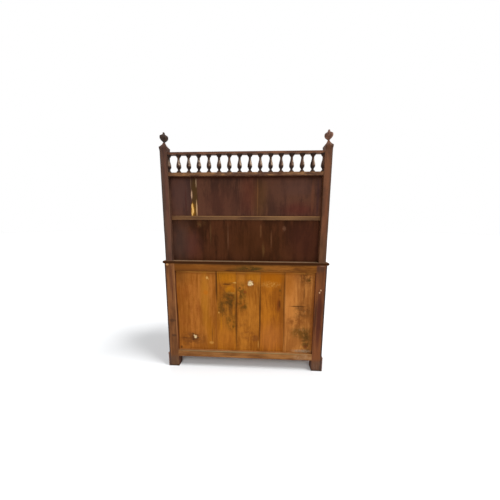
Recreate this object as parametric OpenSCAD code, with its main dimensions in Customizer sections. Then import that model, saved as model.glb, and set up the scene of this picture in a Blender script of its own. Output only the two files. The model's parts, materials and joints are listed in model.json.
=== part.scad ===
// Sideboard with a cupboard below and a galleried plate rack above, in millimetres.
// X runs to the right as seen from the doors, Y to the back, Z up from the floor.

/* [Cupboard] */
// Width of the cupboard over its posts
carcase_w = 1248; // [1190:1:1380]
// Depth of the cupboard from the front face to the back face
carcase_d = 430; // [400:1:480]
// Height of the upper face of the worktop
worktop_z = 898; // [860:1:940]
// Clear height under the bottom rails
leg_h = 91; // [70:1:120]
// Width of a corner post across the back
post_w = 78; // [70:1:90]
// Depth of a corner post
post_d = 60; // [55:1:70]
// Height of the bottom rails
bottom_rail_h = 56; // [48:1:70]
// Height of the top rails of the back and the sides
top_rail_h = 56; // [48:1:70]
// Thickness of the back rails and the front rails
rail_t = 45; // [40:1:50]
// Thickness of the side rails
side_rail_t = 24; // [22:1:30]
// Length of the tenons of the rails
tenon_l = 28; // [20:1:30]

/* [Worktop] */
// Thickness of the worktop
worktop_t = 22; // [18:1:26]
// Overhang of the worktop past each side
worktop_side = 15; // [14:1:24]
// Overhang of the worktop past the front
worktop_front = 22; // [14:1:26]

/* [Back boards] */
// Recess of the boards behind the back face
board_recess = 18; // [15:1:20]
// Thickness of the boards
board_t = 12; // [9:1:14]
// Width of the first board from the left post
board_1_w = 230; // [200:1:250]
// Width of the second board
board_2_w = 191; // [170:1:210]
// Width of the third board
board_3_w = 190; // [170:1:210]
// Width of the fourth board, the fifth fills the rest
board_4_w = 159; // [140:1:180]
// Gap at each seam between two boards
board_gap = 0.8; // [0.4:0.1:2]

/* [Sides] */
// Thickness of a side panel
side_panel_t = 9; // [7:1:11]
// Depth of the grooves that hold the boards and panels
groove_d = 8; // [6:1:10]
// Height of the base moulding above the floor
base_mould_h = 120; // [112:1:130]
// Thickness of the base moulding
base_mould_t = 8; // [6:1:10]
// Diameter of the bead on the base moulding
base_bead_d = 12; // [10:1:14]

/* [Front] */
// Height of the rail above the drawers
front_top_h = 20; // [18:1:26]
// Height of the rail between the drawers and the doors
front_mid_h = 20; // [18:1:26]
// Height of the drawer openings
drawer_h = 140; // [120:1:160]
// Width of the upright between the drawers
divider_w = 30; // [26:1:40]

/* [Drawers] */
// Clearance around a drawer front
drawer_gap = 1.5; // [1:0.1:2]
// Thickness of a drawer front
drawer_front_t = 20; // [18:1:24]
// Thickness of the drawer sides and back
drawer_side_t = 12; // [10:1:14]
// Thickness of a drawer bottom
drawer_bottom_t = 6; // [5:1:8]
// Clearance between a drawer and the back top rail
drawer_room = 13; // [8:1:40]
// Wood left over the dovetails in the drawer front
drawer_lap = 6; // [5:1:8]
// Distance of each knob from the middle of its drawer
drawer_knob_x = 135; // [110:1:160]

/* [Doors] */
// Clearance around and between the doors
door_gap = 2; // [1.6:0.1:2.6]
// Thickness of the door frames
door_t = 22; // [20:1:24]
// Width of the stiles
stile_w = 62; // [55:1:72]
// Height of the top rail of a door
door_top_h = 62; // [55:1:75]
// Height of the bottom rail of a door
door_bottom_h = 78; // [65:1:90]
// Thickness of a door panel at its field
panel_t = 12; // [10:1:13]
// Thickness of a door panel at its tongue
panel_tongue_t = 6; // [5:1:7]
// Width of the bevel round the field
panel_bevel = 32; // [24:1:40]
// Height of the door knobs above the floor
door_knob_z = 455; // [400:1:500]

/* [Knobs and hinges] */
// Reach of a knob from the face that it stands on
knob_l = 30; // [27:1:34]
// Diameter of the head of a knob
knob_d = 34; // [30:1:40]
// Diameter of the spigot of a knob
knob_spigot_d = 13; // [11:1:15]
// Length of a hinge
hinge_l = 60; // [50:1:75]
// Width of a hinge leaf
hinge_leaf_w = 17; // [15:1:18]
// Thickness of a hinge leaf
hinge_leaf_t = 1.6; // [1.2:0.1:1.8]
// Diameter of a hinge knuckle
hinge_knuckle_d = 8; // [7.4:0.1:8.6]
// Diameter of a hinge pin
hinge_pin_d = 4.2; // [3.6:0.1:4.6]
// Distance of a hinge from the end of its door
hinge_end = 70; // [55:1:85]

/* [Inside] */
// Thickness of the bottom board and the inner shelf
inner_board_t = 18; // [15:1:20]
// Height of the inner shelf above the bottom board
inner_shelf_z = 255; // [220:1:290]
// Width of the shelf cleats
cleat_w = 22; // [18:1:26]
// Height of the drawer runners
runner_h = 24; // [20:1:28]
// Height of the drawer guides
guide_h = 18; // [14:1:22]

/* [Rack] */
// Distance of a rack post from the side face of the cupboard
rack_inset = 12; // [8:1:24]
// Width of a rack post across the back
rack_post_w = 52; // [46:1:56]
// Depth of a rack post
rack_post_d = 46; // [44:1:52]
// Height of the rack below its shelf
lower_bay_h = 314; // [290:1:340]
// Thickness of the rack shelf
shelf_t = 30; // [24:1:34]
// Height of the rack above its shelf
upper_bay_h = 284; // [260:1:310]
// Recess of the rack back boards behind the back face
rack_recess = 30; // [28:1:31]
// Thickness of the rack back boards
rack_back_t = 8; // [7:1:9]
// How far the back edge of the shelf stands out from the rack back boards
shelf_proud = 6; // [3:1:8]
// Reach of the rack ends in front of the posts at the shelf
cheek_reach = 130; // [110:1:150]
// Thickness of the rack ends
cheek_t = 18; // [15:1:22]
// Depth of the housings that carry the shelf
housing_d = 6; // [4:1:8]

/* [Gallery] */
// Height of the lower rail of the gallery
gallery_lower_h = 26; // [22:1:30]
// Height of the balusters between the rails
baluster_h = 126; // [112:1:140]
// Height of the upper rail of the gallery
gallery_top_h = 17; // [15:1:22]
// Depth of the upper rail of the gallery
gallery_top_d = 34; // [32:1:38]
// Depth of the lower rail of the gallery
gallery_lower_d = 38; // [36:1:42]
// Spaces in the gallery, one more than its whole balusters
gallery_spaces = 15; // [13:1:17]
// Diameter of a baluster at its cap
baluster_cap_d = 40; // [36:1:44]
// Diameter of a baluster at its neck
baluster_neck_d = 17; // [15:1:19]
// Diameter of a baluster at its belly
baluster_belly_d = 34; // [30:1:36]
// Diameter of a baluster at its waist under the belly
baluster_waist_d = 16; // [14:1:18]
// Diameter of a baluster at its foot
baluster_foot_d = 38; // [34:1:42]
// Diameter of the pins of a baluster
baluster_pin_d = 10; // [8:1:11]
// Length of the pins of a baluster
baluster_pin_l = 9; // [7:1:11]

/* [Post tops and finials] */
// Height of the post corners above the gallery
corner_rise = 32; // [31:1:38]
// How far the post corners flare past the post
corner_flare = 3; // [2:0.5:5]
// Height of the flare
flare_h = 25; // [18:1:26]
// Height of the hollow pyramid on the post
pyramid_h = 34; // [28:1:38]
// Diameter of the neck of a finial
finial_neck_d = 13; // [12:1:15]
// Diameter of the bud of a finial
finial_bud_d = 58; // [54:1:62]
// Height of the bud above the pyramid
finial_bud_h = 52; // [46:1:56]
// Height of the tip above the bud
finial_tip_h = 21; // [18:1:24]
// Diameter of the tip of a finial
finial_tip_d = 15; // [12:1:17]
// Length of the spigot of a finial
finial_spigot_l = 30; // [24:1:34]

/* [Fits] */
// Clearance of a piece in its groove, mortise or housing
joint_gap = 0.2; // [0.1:0.05:0.4]
// Radial clearance of a round pin that is glued in
pin_gap = 0.1; // [0.05:0.01:0.15]
// Clearance between a moving piece and what it slides past
slide_gap = 0.3; // [0.2:0.05:0.5]
// Radial running clearance of a hinge pin
hinge_run = 0.05; // [0.03:0.01:0.08]

/* [Hidden] */
$fn = 48;

// Colours of the weathered back, the stained rack, the show front, the raw inside and the metal
raw_orange = [0.62, 0.40, 0.16];
raw_rail = [0.53, 0.35, 0.17];
post_brown = [0.42, 0.28, 0.19];
rack_brown = [0.38, 0.25, 0.18];
board_dark = [0.30, 0.19, 0.15];
front_brown = [0.40, 0.22, 0.13];
inside_pale = [0.66, 0.50, 0.33];
brass = [0.72, 0.58, 0.30];

// Depth of the whole piece, which centres it on the origin
front_reach = max(knob_l, worktop_front);
back_reach = max(corner_flare, (finial_bud_d - rack_post_d) / 2);
whole_d = front_reach + carcase_d + back_reach;
y_front = front_reach - whole_d / 2;
y_back = y_front + carcase_d;

// Levels of the cupboard
half_w = carcase_w / 2;
post_in = half_w - post_w;
worktop_under = worktop_z - worktop_t;
bottom_rail_top = leg_h + bottom_rail_h;
top_rail_under = worktop_under - top_rail_h;
drawer_top = worktop_under - front_top_h;
drawer_z = drawer_top - drawer_h;
door_top = drawer_z - front_mid_h;
y_front_post = y_front + post_d;
y_back_post = y_back - post_d;
y_board_out = y_back - board_recess;
y_board_in = y_board_out - board_t;
inner_shelf_under = bottom_rail_top + inner_board_t + inner_shelf_z;
side_panel_x = half_w - side_rail_t / 2;

// Bead and feet of the base moulding
bead_proud = 2;
base_reach = base_mould_t + bead_proud;
foot_scoop = 34;

// Tenons take the middle third of a rail's thickness and leave a shoulder above and below
tenon_t = rail_t / 3;
side_tenon_t = side_rail_t * 0.42;
tenon_shoulder = 6;
front_tenon_h = 10;
stub_l = 8;
gallery_tenon_l = 16;
gallery_tenon_t = 12;
gallery_shoulder = 4;
door_tenon_l = 26;
door_tenon_t = 7;

// Room left in a groove, so that a board can move with the seasons
season_gap = 1;

// Dowels between the rack posts and the worktop, and the spigot of a finial
dowel_d = 12;
dowel_down = 16;
dowel_up = 34;
finial_spigot_d = 9;

// Stops behind the drawer fronts
stop_w = 34;
stop_d = 12;
stop_h = 7;

// Dovetails of a drawer side
tail_count = 3;
tail_w = 24;
tail_flare = 4;

// Levels and places of the rack
rack_half = half_w - rack_inset;
rack_in = rack_half - rack_post_w;
y_rack_front = y_back - rack_post_d;
y_rack_board = y_back - rack_recess;
shelf_under = worktop_z + lower_bay_h;
shelf_top = shelf_under + shelf_t;
gallery_under = shelf_top + upper_bay_h;
gallery_floor = gallery_under + gallery_lower_h;
gallery_ceiling = gallery_floor + baluster_h;
gallery_top = gallery_ceiling + gallery_top_h;
corner_z = gallery_top + corner_rise;
pyramid_top = corner_z + pyramid_h;
baluster_pitch = 2 * rack_in / gallery_spaces;
corner_lip = 5;
shelf_set_back = 6;
y_shelf_front = y_rack_front - cheek_reach + shelf_set_back;
rack_post_x = rack_half - rack_post_w / 2;
rack_post_y = y_back - rack_post_d / 2;

// Places on the doors and drawers
door_w = post_in - door_gap * 1.5;
door_z0 = bottom_rail_top + door_gap;
door_z1 = door_top - door_gap;
door_x0 = door_gap / 2;
door_x1 = door_x0 + door_w;
panel_y = y_front + (door_t - panel_tongue_t) / 2;
drawer_x0 = divider_w / 2 + drawer_gap;
drawer_x1 = post_in - drawer_gap;
drawer_mid = (drawer_x0 + drawer_x1) / 2;
drawer_z0 = drawer_z + drawer_gap;
drawer_z1 = drawer_top - drawer_gap;
drawer_side_z0 = drawer_z + slide_gap;
drawer_side_drop = 6;
drawer_side_z1 = drawer_z1 - drawer_side_drop;
drawer_end = y_back - rail_t - drawer_room;
drawer_bottom_rise = 11;
drawer_bottom_z = drawer_z0 + drawer_bottom_rise;
drawer_groove_d = 5;
board_edges = [
    -post_in - groove_d + season_gap,
    -post_in + board_1_w,
    -post_in + board_1_w + board_2_w,
    -post_in + board_1_w + board_2_w + board_3_w,
    -post_in + board_1_w + board_2_w + board_3_w + board_4_w,
    post_in + groove_d - season_gap
];
hinge_x = post_in - door_gap / 2;
hinge_out = 2;
hinge_y = y_front - hinge_out;
hinge_cross = 0.4;
hinge_levels = [door_z0 + hinge_end, door_z1 - hinge_end - hinge_l];
knuckle_count = 5;
knuckle_l = hinge_l / knuckle_count;

// A box between two corners given as ranges along X, Y and Z
module block(xr, yr, zr) {
    translate([xr[0], yr[0], zr[0]])
        cube([xr[1] - xr[0], yr[1] - yr[0], zr[1] - zr[0]]);
}

// The same piece on the right, side 1, or mirrored to the left, side -1
module sided(side) {
    mirror([side < 0 ? 1 : 0, 0, 0])
        children();
}

// Points along an arc, in a plane
function arc(centre, r, from, to, steps = 8) =
    [for (i = [0 : steps])
        let (angle = from + (to - from) * i / steps)
        centre + r * [cos(angle), sin(angle)]];

// Points of an ogee between two [radius, height] points, upright at both ends
function ogee(a, b, steps = 8) =
    [for (i = [1 : steps])
        [a[0] + (b[0] - a[0]) * (1 - cos(180 * i / steps)) / 2, a[1] + (b[1] - a[1]) * i / steps]];

// Tenons of the back rails in the posts, grown by a clearance for the mortises
module back_tenon(z0, z1, gap) {
    block([post_in - 1, post_in + tenon_l + gap],
          [y_back - rail_t / 2 - tenon_t / 2 - gap, y_back - rail_t / 2 + tenon_t / 2 + gap],
          [z0 + tenon_shoulder - gap, z1 - tenon_shoulder + gap]);
}

// Tenons of the front rails in the front posts
module front_tenon(z0, z1, gap) {
    block([post_in - 1, post_in + tenon_l + gap],
          [y_front + rail_t / 2 - tenon_t / 2 - gap, y_front + rail_t / 2 + tenon_t / 2 + gap],
          [z0 - gap, z1 + gap]);
}

// Tenons of a side rail, which run through from post to post
module side_tenons(z0, z1, gap) {
    block([side_panel_x - side_tenon_t / 2 - gap, side_panel_x + side_tenon_t / 2 + gap],
          [y_front_post - tenon_l - gap, y_back_post + tenon_l + gap],
          [z0 + tenon_shoulder - gap, z1 - tenon_shoulder + gap]);
}

// Space of a side panel in its frame, with its reach into the grooves below, above and beside
module side_panel_space(below, above, beside, gap) {
    block([side_panel_x - side_panel_t / 2 - gap, side_panel_x + side_panel_t / 2 + gap],
          [y_front_post - beside, y_back_post + beside],
          [bottom_rail_top - below, top_rail_under + above]);
}

// Space of the back boards between the rails, with their reach into the grooves below and above
module back_board_space(x0, x1, below, above, gap) {
    block([x0, x1],
          [y_board_in - gap, y_board_out + gap],
          [bottom_rail_top - below, top_rail_under + above]);
}

// Middle heights of the slim front rails' tenons
function mid(z0, z1) = (z0 + z1) / 2;

module front_rail_tenons(gap) {
    front_tenon(leg_h + tenon_shoulder, bottom_rail_top - tenon_shoulder, gap);
    front_tenon(mid(door_top, drawer_z) - front_tenon_h / 2, mid(door_top, drawer_z) + front_tenon_h / 2, gap);
    front_tenon(mid(drawer_top, worktop_under) - front_tenon_h / 2,
                mid(drawer_top, worktop_under) + front_tenon_h / 2, gap);
}

module worktop() {
    nose = worktop_t / 2;
    x_nose = half_w + worktop_side - nose;
    y_nose = y_front - worktop_front + nose;
    color(rack_brown)
        difference() {
            intersection() {
                translate([0, y_back, worktop_under + nose])
                    rotate([90, 0, 0])
                        linear_extrude(carcase_d + worktop_front) {
                            translate([-x_nose, -nose])
                                square([2 * x_nose, worktop_t]);
                            translate([x_nose, 0])
                                circle(nose);
                            translate([-x_nose, 0])
                                circle(nose);
                        }
                translate([-half_w - worktop_side, 0, worktop_under + nose])
                    rotate([90, 0, 90])
                        linear_extrude(carcase_w + 2 * worktop_side) {
                            translate([y_nose, -nose])
                                square([y_back - y_nose, worktop_t]);
                            translate([y_nose, 0])
                                circle(nose);
                        }
            }
            for (side = [-1, 1])
                translate([side * rack_post_x, rack_post_y, worktop_z - dowel_down])
                    cylinder(d = dowel_d + 2 * pin_gap, h = dowel_down + 1);
        }
}

module front_post() {
    color(front_brown)
        difference() {
            block([post_in, half_w], [y_front, y_front_post], [0, worktop_under]);
            front_rail_tenons(joint_gap);
            side_tenons(leg_h, bottom_rail_top, joint_gap);
            side_tenons(top_rail_under, worktop_under, joint_gap);
            side_panel_space(groove_d, groove_d, groove_d, joint_gap);
            hinge_recess(1);
        }
}

module back_post() {
    color(post_brown)
        difference() {
            block([post_in, half_w], [y_back_post, y_back], [0, worktop_under]);
            back_tenon(leg_h, bottom_rail_top, joint_gap);
            back_tenon(top_rail_under, worktop_under, joint_gap);
            side_tenons(leg_h, bottom_rail_top, joint_gap);
            side_tenons(top_rail_under, worktop_under, joint_gap);
            side_panel_space(groove_d, groove_d, groove_d, joint_gap);
            back_board_space(post_in - 1, post_in + groove_d, groove_d, groove_d, joint_gap);
        }
}

// A rail of the back with its two tenons and the groove for the boards, which runs on over the tenons
module back_rail(z0, z1) {
    color(raw_rail)
        difference() {
            union() {
                block([-post_in, post_in], [y_back - rail_t, y_back], [z0, z1]);
                for (side = [-1, 1])
                    sided(side)
                        back_tenon(z0, z1, 0);
            }
            back_board_space(-post_in - groove_d, post_in + groove_d, groove_d, groove_d, joint_gap);
        }
}

// A board of the back, counted from the left post, which stops short of the groove's roof
module back_board(number) {
    color(raw_orange)
        back_board_space(board_edges[number - 1] + board_gap / 2, board_edges[number] - board_gap / 2,
                         groove_d, groove_d - season_gap, 0);
}

// A side rail on the right, with its tenons and the groove for the panel
module side_rail(z0, z1) {
    difference() {
        union() {
            block([half_w - side_rail_t, half_w], [y_front_post, y_back_post], [z0, z1]);
            side_tenons(z0, z1, 0);
        }
        side_panel_space(groove_d, groove_d, groove_d, joint_gap);
    }
}

module side_top_rails() {
    color(front_brown)
        for (side = [-1, 1])
            sided(side)
                side_rail(top_rail_under, worktop_under);
}

module side_bottom_rails() {
    color(front_brown)
        for (side = [-1, 1])
            sided(side)
                side_rail(leg_h, bottom_rail_top);
}

module side_panel() {
    color(front_brown)
        side_panel_space(groove_d, groove_d - season_gap, groove_d - season_gap, 0);
}

// Section of the base moulding: a flat board with a bead along its top
module base_section() {
    square([base_mould_t, base_mould_h - base_bead_d / 2]);
    intersection() {
        translate([base_mould_t + bead_proud - base_bead_d / 2, base_mould_h - base_bead_d / 2])
            circle(base_bead_d / 2);
        translate([0, base_mould_h - base_bead_d])
            square(base_bead_d);
    }
}

// Mitred outline of the front length on the right half, grown past the mitre
function mitre(grow) = [
    [0, y_front - base_reach - grow],
    [half_w + base_reach + 2 * grow, y_front - base_reach - grow],
    [half_w + grow, y_front],
    [0, y_front]
];

// What is cut away under a length of the base moulding, between two feet with a scoop beside each
module foot_gap(from, to) {
    difference() {
        translate([from, -1])
            square([to - from, leg_h + 1]);
        for (place = [from, to])
            difference() {
                translate([place - foot_scoop, leg_h - foot_scoop])
                    square([2 * foot_scoop, foot_scoop + 1]);
                for (side = [-1, 1])
                    translate([place + side * foot_scoop, leg_h - foot_scoop])
                        circle(foot_scoop);
            }
    }
}

module base_mouldings() {
    color(front_brown) {
        for (side = [-1, 1])
            sided(side)
                difference() {
                    translate([half_w, y_back, 0])
                        rotate([90, 0, 0])
                            linear_extrude(carcase_d + base_reach)
                                base_section();
                    translate([0, 0, -1])
                        linear_extrude(base_mould_h + 2)
                            polygon(mitre(joint_gap));
                    translate([half_w - 1, 0, 0])
                        rotate([90, 0, 90])
                            linear_extrude(base_reach + 2)
                                foot_gap(y_front_post, y_back_post);
                }
        difference() {
            intersection() {
                translate([-half_w - base_reach, y_front, 0])
                    rotate([90, 0, 90])
                        linear_extrude(carcase_w + 2 * base_reach)
                            mirror([1, 0])
                                base_section();
                translate([0, 0, -1])
                    linear_extrude(base_mould_h + 2) {
                        polygon(mitre(0));
                        mirror([1, 0])
                            polygon(mitre(0));
                    }
            }
            translate([0, y_front + 1, 0])
                rotate([90, 0, 0])
                    linear_extrude(base_reach + 2)
                        foot_gap(-post_in, post_in);
        }
    }
}

// A front rail between the posts with a tenon at each end
module front_rail(z0, z1, tenon_z0, tenon_z1) {
    block([-post_in, post_in], [y_front, y_front + rail_t], [z0, z1]);
    for (side = [-1, 1])
        sided(side)
            front_tenon(tenon_z0, tenon_z1, 0);
}

// Stub tenons of the drawer divider
module divider_stubs(gap) {
    block([-divider_w / 2 + tenon_shoulder - gap, divider_w / 2 - tenon_shoulder + gap],
          [y_front + tenon_shoulder - gap, y_front + rail_t - tenon_shoulder + gap],
          [drawer_z - stub_l - gap, drawer_top + stub_l + gap]);
}

module front_top_rail() {
    centre = mid(drawer_top, worktop_under);
    color(front_brown)
        difference() {
            front_rail(drawer_top, worktop_under, centre - front_tenon_h / 2, centre + front_tenon_h / 2);
            divider_stubs(joint_gap);
        }
}

module front_mid_rail() {
    centre = mid(door_top, drawer_z);
    color(front_brown)
        difference() {
            front_rail(door_top, drawer_z, centre - front_tenon_h / 2, centre + front_tenon_h / 2);
            divider_stubs(joint_gap);
        }
}

module front_bottom_rail() {
    color(front_brown)
        front_rail(leg_h, bottom_rail_top, leg_h + tenon_shoulder, bottom_rail_top - tenon_shoulder);
}

module drawer_divider() {
    color(front_brown) {
        block([-divider_w / 2, divider_w / 2], [y_front, y_front + rail_t], [drawer_z, drawer_top]);
        divider_stubs(0);
    }
}

// The bottom board lies on the rails and is notched round the posts
module bottom_board() {
    color(inside_pale) {
        block([-post_in, post_in], [y_front + door_t + slide_gap, y_board_in],
              [bottom_rail_top, bottom_rail_top + inner_board_t]);
        block([-side_panel_x + side_panel_t / 2, side_panel_x - side_panel_t / 2], [y_front_post, y_back_post],
              [bottom_rail_top, bottom_rail_top + inner_board_t]);
    }
}

module inner_shelf() {
    color(inside_pale)
        block([-post_in, post_in], [y_front + rail_t, y_board_in],
              [inner_shelf_under, inner_shelf_under + inner_board_t]);
}

module shelf_cleats() {
    color(inside_pale)
        for (side = [-1, 1])
            sided(side)
                block([post_in - cleat_w, post_in], [y_front + rail_t, y_board_in],
                      [inner_shelf_under - cleat_w, inner_shelf_under]);
}

// An end runner is notched round the posts, the middle one carries both drawers
module drawer_runners() {
    color(inside_pale) {
        for (side = [-1, 1])
            sided(side) {
                block([post_in - runner_h, post_in], [y_front + rail_t, y_board_in],
                      [drawer_z - runner_h, drawer_z]);
                block([post_in - runner_h, post_in + runner_h], [y_front_post, y_back_post],
                      [drawer_z - runner_h, drawer_z]);
            }
        block([-divider_w / 2 - runner_h, divider_w / 2 + runner_h], [y_front + rail_t, y_board_in],
              [drawer_z - runner_h, drawer_z]);
    }
}

module drawer_guides() {
    color(inside_pale) {
        for (side = [-1, 1])
            sided(side)
                block([post_in, post_in + guide_h], [y_front_post, y_back_post],
                      [drawer_z, drawer_z + guide_h]);
        block([-divider_w / 2, divider_w / 2], [y_front + rail_t, y_board_in], [drawer_z, drawer_z + guide_h]);
    }
}

// Stops on the middle rail, two behind each drawer front
module drawer_stops() {
    stop_y = y_front + drawer_front_t + slide_gap;
    color(inside_pale)
        for (side = [-1, 1], place = [-1, 1])
            block([side * drawer_mid + place * drawer_knob_x - stop_w / 2,
                   side * drawer_mid + place * drawer_knob_x + stop_w / 2],
                  [stop_y, stop_y + stop_d], [drawer_z, drawer_z + stop_h]);
}

// One knuckle of a hinge, counted from below
module knuckle(number, d) {
    translate([hinge_x, hinge_y, number * knuckle_l + slide_gap / 2])
        cylinder(d = d, h = knuckle_l - slide_gap);
}

// Half of a hinge at height 0: the leaf on side 1 or -1 of the pin, with the knuckles named
module hinge_half(side, knuckles, others, bore_d) {
    leaf_x = side * door_gap / 2;
    difference() {
        union() {
            block([hinge_x + min(leaf_x, leaf_x + side * hinge_leaf_t),
                   hinge_x + max(leaf_x, leaf_x + side * hinge_leaf_t)],
                  [hinge_y, y_front + hinge_leaf_w], [0, hinge_l]);
            for (number = knuckles)
                knuckle(number, hinge_knuckle_d);
        }
        translate([hinge_x, hinge_y, -1])
            cylinder(d = bore_d, h = hinge_l + 2);
        for (number = others)
            translate([hinge_x, hinge_y, number * knuckle_l - slide_gap / 2])
                cylinder(d = hinge_knuckle_d + 2 * slide_gap, h = knuckle_l + slide_gap);
    }
}

// Room for a hinge, cut from the post on side 1 and from the stile on side -1
module hinge_recess(side) {
    for (level = hinge_levels)
        translate([0, 0, level]) {
            leaf_x = side * door_gap / 2;
            block([hinge_x + min(0, leaf_x + side * (hinge_leaf_t + joint_gap)),
                   hinge_x + max(0, leaf_x + side * (hinge_leaf_t + joint_gap))],
                  [hinge_y - 1, y_front + hinge_leaf_w + joint_gap], [-joint_gap, hinge_l + joint_gap]);
            translate([hinge_x, hinge_y, -joint_gap])
                cylinder(d = hinge_knuckle_d + 2 * slide_gap, h = hinge_l + 2 * joint_gap);
        }
}

// The leaves on the posts, each with its pin
module hinge_leaves_fixed() {
    color(brass)
        for (side = [-1, 1], level = hinge_levels)
            sided(side)
                translate([0, 0, level]) {
                    hinge_half(1, [0, 2, 4], [1, 3], hinge_pin_d - hinge_cross);
                    translate([hinge_x, hinge_y, 0])
                        cylinder(d = hinge_pin_d, h = hinge_l);
                }
}

module door_hinge_leaves() {
    color(brass)
        for (level = hinge_levels)
            translate([0, 0, level])
                hinge_half(-1, [1, 3], [0, 2, 4], hinge_pin_d + 2 * hinge_run);
}

// Tenons of a door's rails, between the stiles
module door_tenons(gap) {
    for (zr = [[door_z0, door_z0 + door_bottom_h], [door_z1 - door_top_h, door_z1]])
        block([door_x0 + stile_w - door_tenon_l - gap, door_x1 - stile_w + door_tenon_l + gap],
              [y_front + door_t / 2 - door_tenon_t / 2 - gap, y_front + door_t / 2 + door_tenon_t / 2 + gap],
              [zr[0] + 2 * tenon_shoulder - gap, zr[1] - 2 * tenon_shoulder + gap]);
}

// Space of the panel's tongue in the door frame
module door_panel_space(reach, gap) {
    block([door_x0 + stile_w - reach, door_x1 - stile_w + reach],
          [panel_y - gap, panel_y + panel_tongue_t + gap],
          [door_z0 + door_bottom_h - reach, door_z1 - door_top_h + reach]);
}

module door_stiles() {
    color(front_brown)
        difference() {
            union() {
                block([door_x0, door_x0 + stile_w], [y_front, y_front + door_t], [door_z0, door_z1]);
                block([door_x1 - stile_w, door_x1], [y_front, y_front + door_t], [door_z0, door_z1]);
            }
            door_tenons(joint_gap);
            door_panel_space(groove_d, joint_gap);
            hinge_recess(-1);
            translate([door_x0 + stile_w / 2, y_front - 1, door_knob_z])
                rotate([-90, 0, 0])
                    cylinder(d = knob_spigot_d + 2 * pin_gap, h = door_t + 2);
        }
}

module door_rails() {
    color(front_brown)
        difference() {
            union() {
                for (zr = [[door_z0, door_z0 + door_bottom_h], [door_z1 - door_top_h, door_z1]])
                    block([door_x0 + stile_w, door_x1 - stile_w], [y_front, y_front + door_t], zr);
                door_tenons(0);
            }
            door_panel_space(groove_d, joint_gap);
        }
}

// Section of a fielded panel of a given width: a tongue, a bevel and the raised field
module fielded_section(width) {
    lip = groove_d + 2;
    polygon([
        [-width / 2, 0], [width / 2, 0], [width / 2, panel_tongue_t], [width / 2 - lip, panel_tongue_t],
        [width / 2 - lip - panel_bevel, panel_t], [-width / 2 + lip + panel_bevel, panel_t],
        [-width / 2 + lip, panel_tongue_t], [-width / 2, panel_tongue_t]
    ]);
}

module door_panel() {
    panel_w = door_w - 2 * stile_w + 2 * (groove_d - season_gap);
    panel_z0 = door_z0 + door_bottom_h - groove_d;
    panel_z1 = door_z1 - door_top_h + groove_d - season_gap;
    panel_h = panel_z1 - panel_z0;
    color(front_brown)
        translate([door_x0 + door_w / 2, panel_y + panel_tongue_t, (panel_z0 + panel_z1) / 2])
            rotate([90, 0, 0])
                intersection() {
                    translate([0, panel_h / 2, 0])
                        rotate([90, 0, 0])
                            linear_extrude(panel_h)
                                fielded_section(panel_w);
                    translate([-panel_w / 2, 0, 0])
                        rotate([90, 0, 90])
                            linear_extrude(panel_w)
                                fielded_section(panel_h);
                }
}

// A turned knob on a face, pointing to the front, with a spigot that passes through the wood behind
module knob(through) {
    neck_r = knob_d * 0.24;
    outline = concat(
        [[0, -through], [knob_spigot_d / 2, -through], [knob_spigot_d / 2, 0], [knob_d * 0.34, 0]],
        [[knob_d * 0.34, 2]],
        ogee([knob_d * 0.34, 2], [neck_r, knob_l * 0.34], 5),
        ogee([neck_r, knob_l * 0.34], [knob_d / 2, knob_l * 0.66], 6),
        arc([knob_d / 2 - knob_l * 0.34, knob_l * 0.66], knob_l * 0.34, 0, 90, 8),
        [[0, knob_l]]
    );
    rotate([90, 0, 0])
        rotate_extrude()
            polygon(outline);
}

module door_knob() {
    color(front_brown)
        translate([door_x0 + stile_w / 2, y_front, door_knob_z])
            knob(door_t);
}

module drawer_knobs() {
    color(front_brown)
        for (place = [-1, 1])
            translate([drawer_mid + place * drawer_knob_x, y_front, mid(drawer_z0, drawer_z1)])
                knob(drawer_front_t);
}

// Dovetails of a drawer side in the drawer front, wider at their ends
module dovetails(gap) {
    tail_l = drawer_front_t - drawer_lap;
    pitch = (drawer_side_z1 - drawer_bottom_z - drawer_bottom_t) / tail_count;
    for (number = [0 : tail_count - 1]) {
        centre = drawer_bottom_z + drawer_bottom_t + pitch * (number + 0.5);
        translate([0, y_front + drawer_front_t, centre])
            rotate([90, 0, 90])
                linear_extrude(drawer_side_t)
                    polygon([
                        [0, -tail_w / 2 - gap], [-tail_l - gap, -tail_w / 2 - tail_flare - gap],
                        [-tail_l - gap, tail_w / 2 + tail_flare + gap], [0, tail_w / 2 + gap]
                    ]);
    }
}

// Space of the drawer bottom in the front and the sides
module drawer_bottom_space(reach, gap) {
    block([drawer_x0 + drawer_side_t - reach, drawer_x1 - drawer_side_t + reach],
          [y_front + drawer_front_t - reach, drawer_end],
          [drawer_bottom_z - gap, drawer_bottom_z + drawer_bottom_t + gap]);
}

module drawer_front() {
    color(front_brown)
        difference() {
            block([drawer_x0, drawer_x1], [y_front, y_front + drawer_front_t], [drawer_z0, drawer_z1]);
            for (x0 = [drawer_x0, drawer_x1 - drawer_side_t])
                translate([x0, 0, 0])
                    dovetails(0);
            drawer_bottom_space(drawer_groove_d, joint_gap);
            for (place = [-1, 1])
                translate([drawer_mid + place * drawer_knob_x, y_front - 1, mid(drawer_z0, drawer_z1)])
                    rotate([-90, 0, 0])
                        cylinder(d = knob_spigot_d + 2 * pin_gap, h = drawer_front_t + 2);
        }
}

// The two sides and the back, which stands on the bottom and is housed in the sides
module drawer_box() {
    color(inside_pale) {
        difference() {
            union() {
                for (x0 = [drawer_x0, drawer_x1 - drawer_side_t]) {
                    block([x0, x0 + drawer_side_t], [y_front + drawer_front_t, drawer_end],
                          [drawer_side_z0, drawer_side_z1]);
                    translate([x0, 0, 0])
                        dovetails(0);
                }
            }
            drawer_bottom_space(drawer_groove_d, joint_gap);
            drawer_back(drawer_side_t / 2, joint_gap);
        }
        drawer_back(drawer_side_t / 2, 0);
    }
}

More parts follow.
